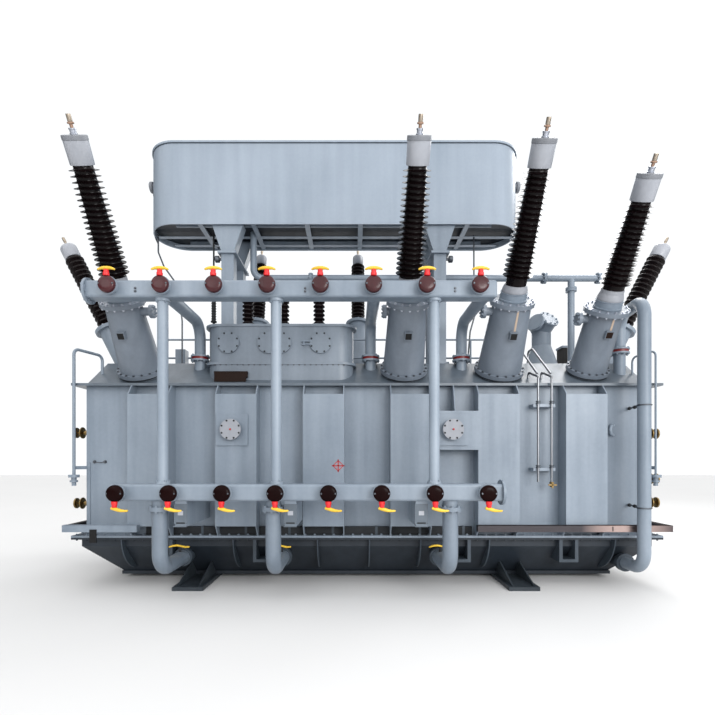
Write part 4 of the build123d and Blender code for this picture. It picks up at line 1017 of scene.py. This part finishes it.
# Conservator: a dark line under its rim as painted shadow, a dark sheet on its underside as painted shade,
# and flat bars on it in a lighter grey as painted light
rim_shadow_path = oval(0.4035, 5.762)
pipes("rim_joint", [rim_shadow_path + rim_shadow_path[:1]], 0.0045, 0.0, plinth_shade_grey)
shade_sheet_shape = skin("shade_sheet", [oval(0.384, 4.757), oval(0.384, 4.7595)])
shade_sheet_shape.materials.append(hull_shade_grey)
keep(plain_piece("underside_liner", shade_sheet_shape))
bar_width = 0.066
bars = []
for reach, depth in ((2.52, -0.015), (2.37, 0.242)):
    bars.append(block(conservator_x - reach, relay_y + depth, 4.694, 2 * reach, bar_width, 0.0055))
for index in range(6):
    x = conservator_x + 0.72 * (index - 2.5) - bar_width / 2
    bars.append(block(x, relay_y - 0.384, 4.6935, bar_width, 0.768, 0.0062))
slabs("underside_bars", bars, link_lit_grey)

# Flanges, junctions and boxes on the roof and the conservator posts, and sleeves over the collars
side_axis = Vector((-0.75, -0.55, 0.35)).normalized()
side_foot = Vector((wall_end - 0.84, front + 1.15, roof_top + 0.66))
side_profile = mm((85, 0), (85, 130), (132, 133), (132, 152), (128, 155), (128, 175), (50, 178))
turned("neck_side_flange", side_profile, along_axes([(side_foot, side_axis)], 0), tank_grey)
post_profile = mm((50, -30), (74, -28), (74, -4), (70, -2), (70, 2), (74, 4), (74, 28), (50, 30))
relay_post = facing([(wall_end - 0.52, relay_y, 3.946)], up)
turned("post_flanges", post_profile, relay_post, tank_grey)
junction_profile = mm((20, -4), (20, 45), (42, 50), (45, 55), (45, 98), (40, 104), (10, 105))
junctions = []
for side in (-1, 1):
    place = (conservator_x + side * 1.5125, front + 0.615, 4.262)
    junctions.append((place, (side, 0, 0), backwards))
turned("post_junctions", junction_profile, junctions, bolt_steel, 28)
box_bases = [
    block(-2.75, front + 0.99, roof_top, 0.16, 0.17, 0.10),
    block(2.95, front + 1.2, roof_top, 0.15, 0.2, 0.38),
]
box_tops = [
    block(-2.74, front + 1.0, roof_top + 0.10, 0.14, 0.15, 0.21),
    block(2.94, front + 1.19, roof_top + 0.38, 0.17, 0.22, 0.03),
]
slabs("roof_box_bases", box_bases, black_plastic)
slabs("roof_box_tops", box_tops, tank_grey)
for number, reach in ((1, 0.085), (2, 0.085), (4, 0.04)):
    foot = collar_bases[number - 1][0] + hv_axis * collar_height
    sleeve = [(0.1155, -0.002), (0.1245, 0), (0.1235, reach - 0.006)]
    sleeve += [(0.121, reach), (0.1155, reach + 0.001)]
    turned(f"collar_sleeve_{number}", sleeve, facing([foot], hv_axis), collar_white)

# Cable trays: lid edges, a joint line and a black strap, and a cable duct on the joint of the tank made
# near-black as painted shade
tray_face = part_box("cable_trays")[0].y
tray_lip = tray_face - 0.003
tray_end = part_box("cable_trays")[1].x
tray_left = 1.29
tray_run = tray_end - tray_left
lids = [
    block(tray_left, tray_lip, 0.749, tray_run, 0.078, 0.011),
    block(tray_left, tray_lip, 0.685, tray_run, 0.003, 0.008),
]
slabs("tray_lids", lids, tray_steel)
cover_left = -tray_end - 0.002
cover_run = 0.874
cover_foot = 0.683
covers = [
    block(cover_left, tray_lip, cover_foot, cover_run, 0.003, 0.078),
    block(cover_left, tray_lip, 0.7602, cover_run, 0.081, 0.003),
    block(cover_left, tray_face, cover_foot, 0.002, 0.075, 0.078),
    block(cover_left + cover_run - 0.002, tray_face, cover_foot, 0.002, 0.075, 0.078),
]
slabs("left_tray_cover", covers, tank_grey)
joint_line = block(2.86, tray_face - 0.0015, 0.693, 0.012, 0.0015, 0.056)
strap = block(-3.245, tray_face - 0.012, 0.56, 0.08, 0.012, 0.155)
duct = block(-2.69, front - 0.058, joint_top, 3.97, 0.058, 0.100)
clips = [block(-2.55 + index * 0.53, front - 0.062, joint_top, 0.03, 0.062, 0.106) for index in range(8)]
slabs("tray_joint", [joint_line], black_plastic)
slabs("tray_strap", [strap], black_plastic)
# The duct's near-black is painted shade
slabs("cable_duct", [duct], gasket_black)
slabs("duct_clips", clips, plinth_shade_grey)

# Plates on the header brackets and plugs in the upper header
nose = header_y - 0.06
bracket_faces = []
bracket_slots = []
bracket_tabs = []
for x in (-1.987, -0.829, 0.551):
    bracket_faces.append(block(x - 0.068, nose - 0.006, 0.850, 0.136, 0.006, 0.215))
    bracket_faces.append(block(x - 0.068, nose - 0.030, 0.824, 0.136, 0.03, 0.012))
    bracket_slots.append(block(x - 0.045, nose - 0.0075, 0.856, 0.09, 0.002, 0.014))
    bracket_tabs.append(block(x - 0.028, nose - 0.008, 0.945, 0.056, 0.002, 0.045))
slabs("bracket_plates", bracket_faces, roof_shade_grey)
slabs("bracket_slots", bracket_slots, gasket_black)
slabs("bracket_tabs", bracket_tabs, cap_grey)
plug_profile = mm((13, -4), (13, 4), (8, 6), (8, 16), (3, 17))
plugs = [(x, header_face, height) for x in (-2.451, -0.671, 0.90) for height in (3.296, 3.328)]
turned("header_plugs", plug_profile, facing(plugs, forwards), bolt_steel, 16)

# Bar on the low-voltage base, latch of a cover and a strip on the left edge of the wall
bar_left = -1.896
base_bar = [
    block(bar_left, lv_front - 0.045, 2.50, 0.39, 0.045, 0.128),
    block(bar_left - 0.004, lv_front - 0.048, 2.612, 0.417, 0.048, 0.018),
    block(bar_left + 0.39, lv_front - 0.045, 2.555, 0.022, 0.045, 0.06),
]
latch_left = -0.81
latch = [block(latch_left, lv_front - 0.030, height, 0.13, 0.030, 0.012) for height in (3.004, 2.966)]
latch.append(block(latch_left + 0.02, lv_front - 0.034, 2.958, 0.016, 0.034, 0.066))
end_strip = block(-wall_end + 0.018, front - 0.012, 0.70, 0.03, 0.012, 0.80)
slabs("base_bar", base_bar, rust_brown)
slabs("cover_latch", latch, tank_grey)
slabs("end_strip", [end_strip], tank_grey)

# Centre-of-gravity mark, and red knobs on the hand holes
mark = Vector((-0.346, front - 0.2162, 1.459))
mark_skin = 0.0015
mark_reach = 0.068
bars = [
    block(mark.x - 0.075, mark.y, mark.z - 0.007, 0.15, mark_skin, 0.014),
    block(mark.x - 0.007, mark.y, mark.z - 0.075, 0.014, mark_skin, 0.15),
]
for across, rise in ((1, 1), (1, -1), (-1, 1), (-1, -1)):
    corner = mark + Vector((across * mark_reach, 0, 0))
    slope = (-across * mark_reach, 0, rise * mark_reach)
    bars.append((corner, slope, (0, mark_skin, 0), (-across * 0.006, 0, -rise * 0.006)))
slabs("balance_mark", bars, mark_red)
knob_profile = mm((12, 0), (12, 6), (9, 10), (3, 11))
turned("cover_knobs", knob_profile, facing(hand_holes, forwards), mark_red, 20)

# Camera, light and floor
camera_data = bpy.data.cameras.new("camera")
camera_data.sensor_width = 36
camera_data.lens = 23.4
camera_data.shift_x = 0.006
camera_data.shift_y = 0.143
camera_data.clip_end = 200
camera = plain_piece("camera", camera_data)
camera.location = (-0.168, front - 5.72, 1.53)
camera.rotation_euler = (radians(90), 0, 0)
bpy.context.scene.camera = camera

floor_finish = Finish("pale_floor")
floor_cloud = floor_finish.noise(0.4, 3.0)
floor_material = floor_finish.coat(
    Base_Color=floor_finish.blend(floor_cloud, (0.64, 0.64, 0.64, 1), (0.67, 0.67, 0.67, 1)),
    Roughness=0.75,
    Specular_IOR_Level=0.1,
)
floor_corners = [(-40, -40, 0), (40, -40, 0), (40, 40, 0), (-40, 40, 0)]
floor_mesh = shape_of("floor", floor_corners, faces=[(0, 1, 2, 3)])
floor_mesh.materials.append(floor_material)
floor = plain_piece("floor", floor_mesh)


def light_up(name, kind, place, aim, power):
    """A light that shines from its place towards its aim."""
    data = bpy.data.lights.new(name, kind)
    data.energy = power
    light = plain_piece(name, data)
    light.visible_camera = False
    light.location = place
    light.rotation_euler = (Vector(aim) - Vector(place)).to_track_quat("-Z", "Y").to_euler()
    return data


def panel(name, place, aim, width, height, power):
    """A soft rectangle of light."""
    data = light_up(name, "AREA", place, aim, power)
    data.shape = "RECTANGLE"
    data.size = width
    data.size_y = height


sky_light = light_up("sky_light", "SUN", (2.0, -4.5, 10.0), (0, 0, 0), 4.4)
sky_light.angle = radians(140)
panel("front_left", (-7, -12, 6.5), (-0.5, 0, 2.0), 6, 4, 90)
panel("front_right", (6, -12, 4.5), (0.8, 0, 2.0), 6, 4, 800)
panel("rear_fill", (4, 13, 7.0), (0, 0, 2.0), 6, 4, 420)
panel("roof_sheen", (5.2, 3.0, 9.3), (2.2, -0.6, 2.7), 3.4, 3.4, 300)
world = bpy.data.worlds.new("studio")
world.use_nodes = True
sky = Graph(world.node_tree)
seen = sky.add("ShaderNodeLightPath", output="Is Camera Ray")
backdrop = world.node_tree.nodes["Background"]
backdrop.inputs["Color"].default_value = (0.96, 0.98, 1.0, 1)
world.node_tree.links.new((seen * 0.92 + 0.14).socket, backdrop.inputs["Strength"])
bpy.context.scene.world = world
bpy.context.scene.view_settings.view_transform = "Standard"
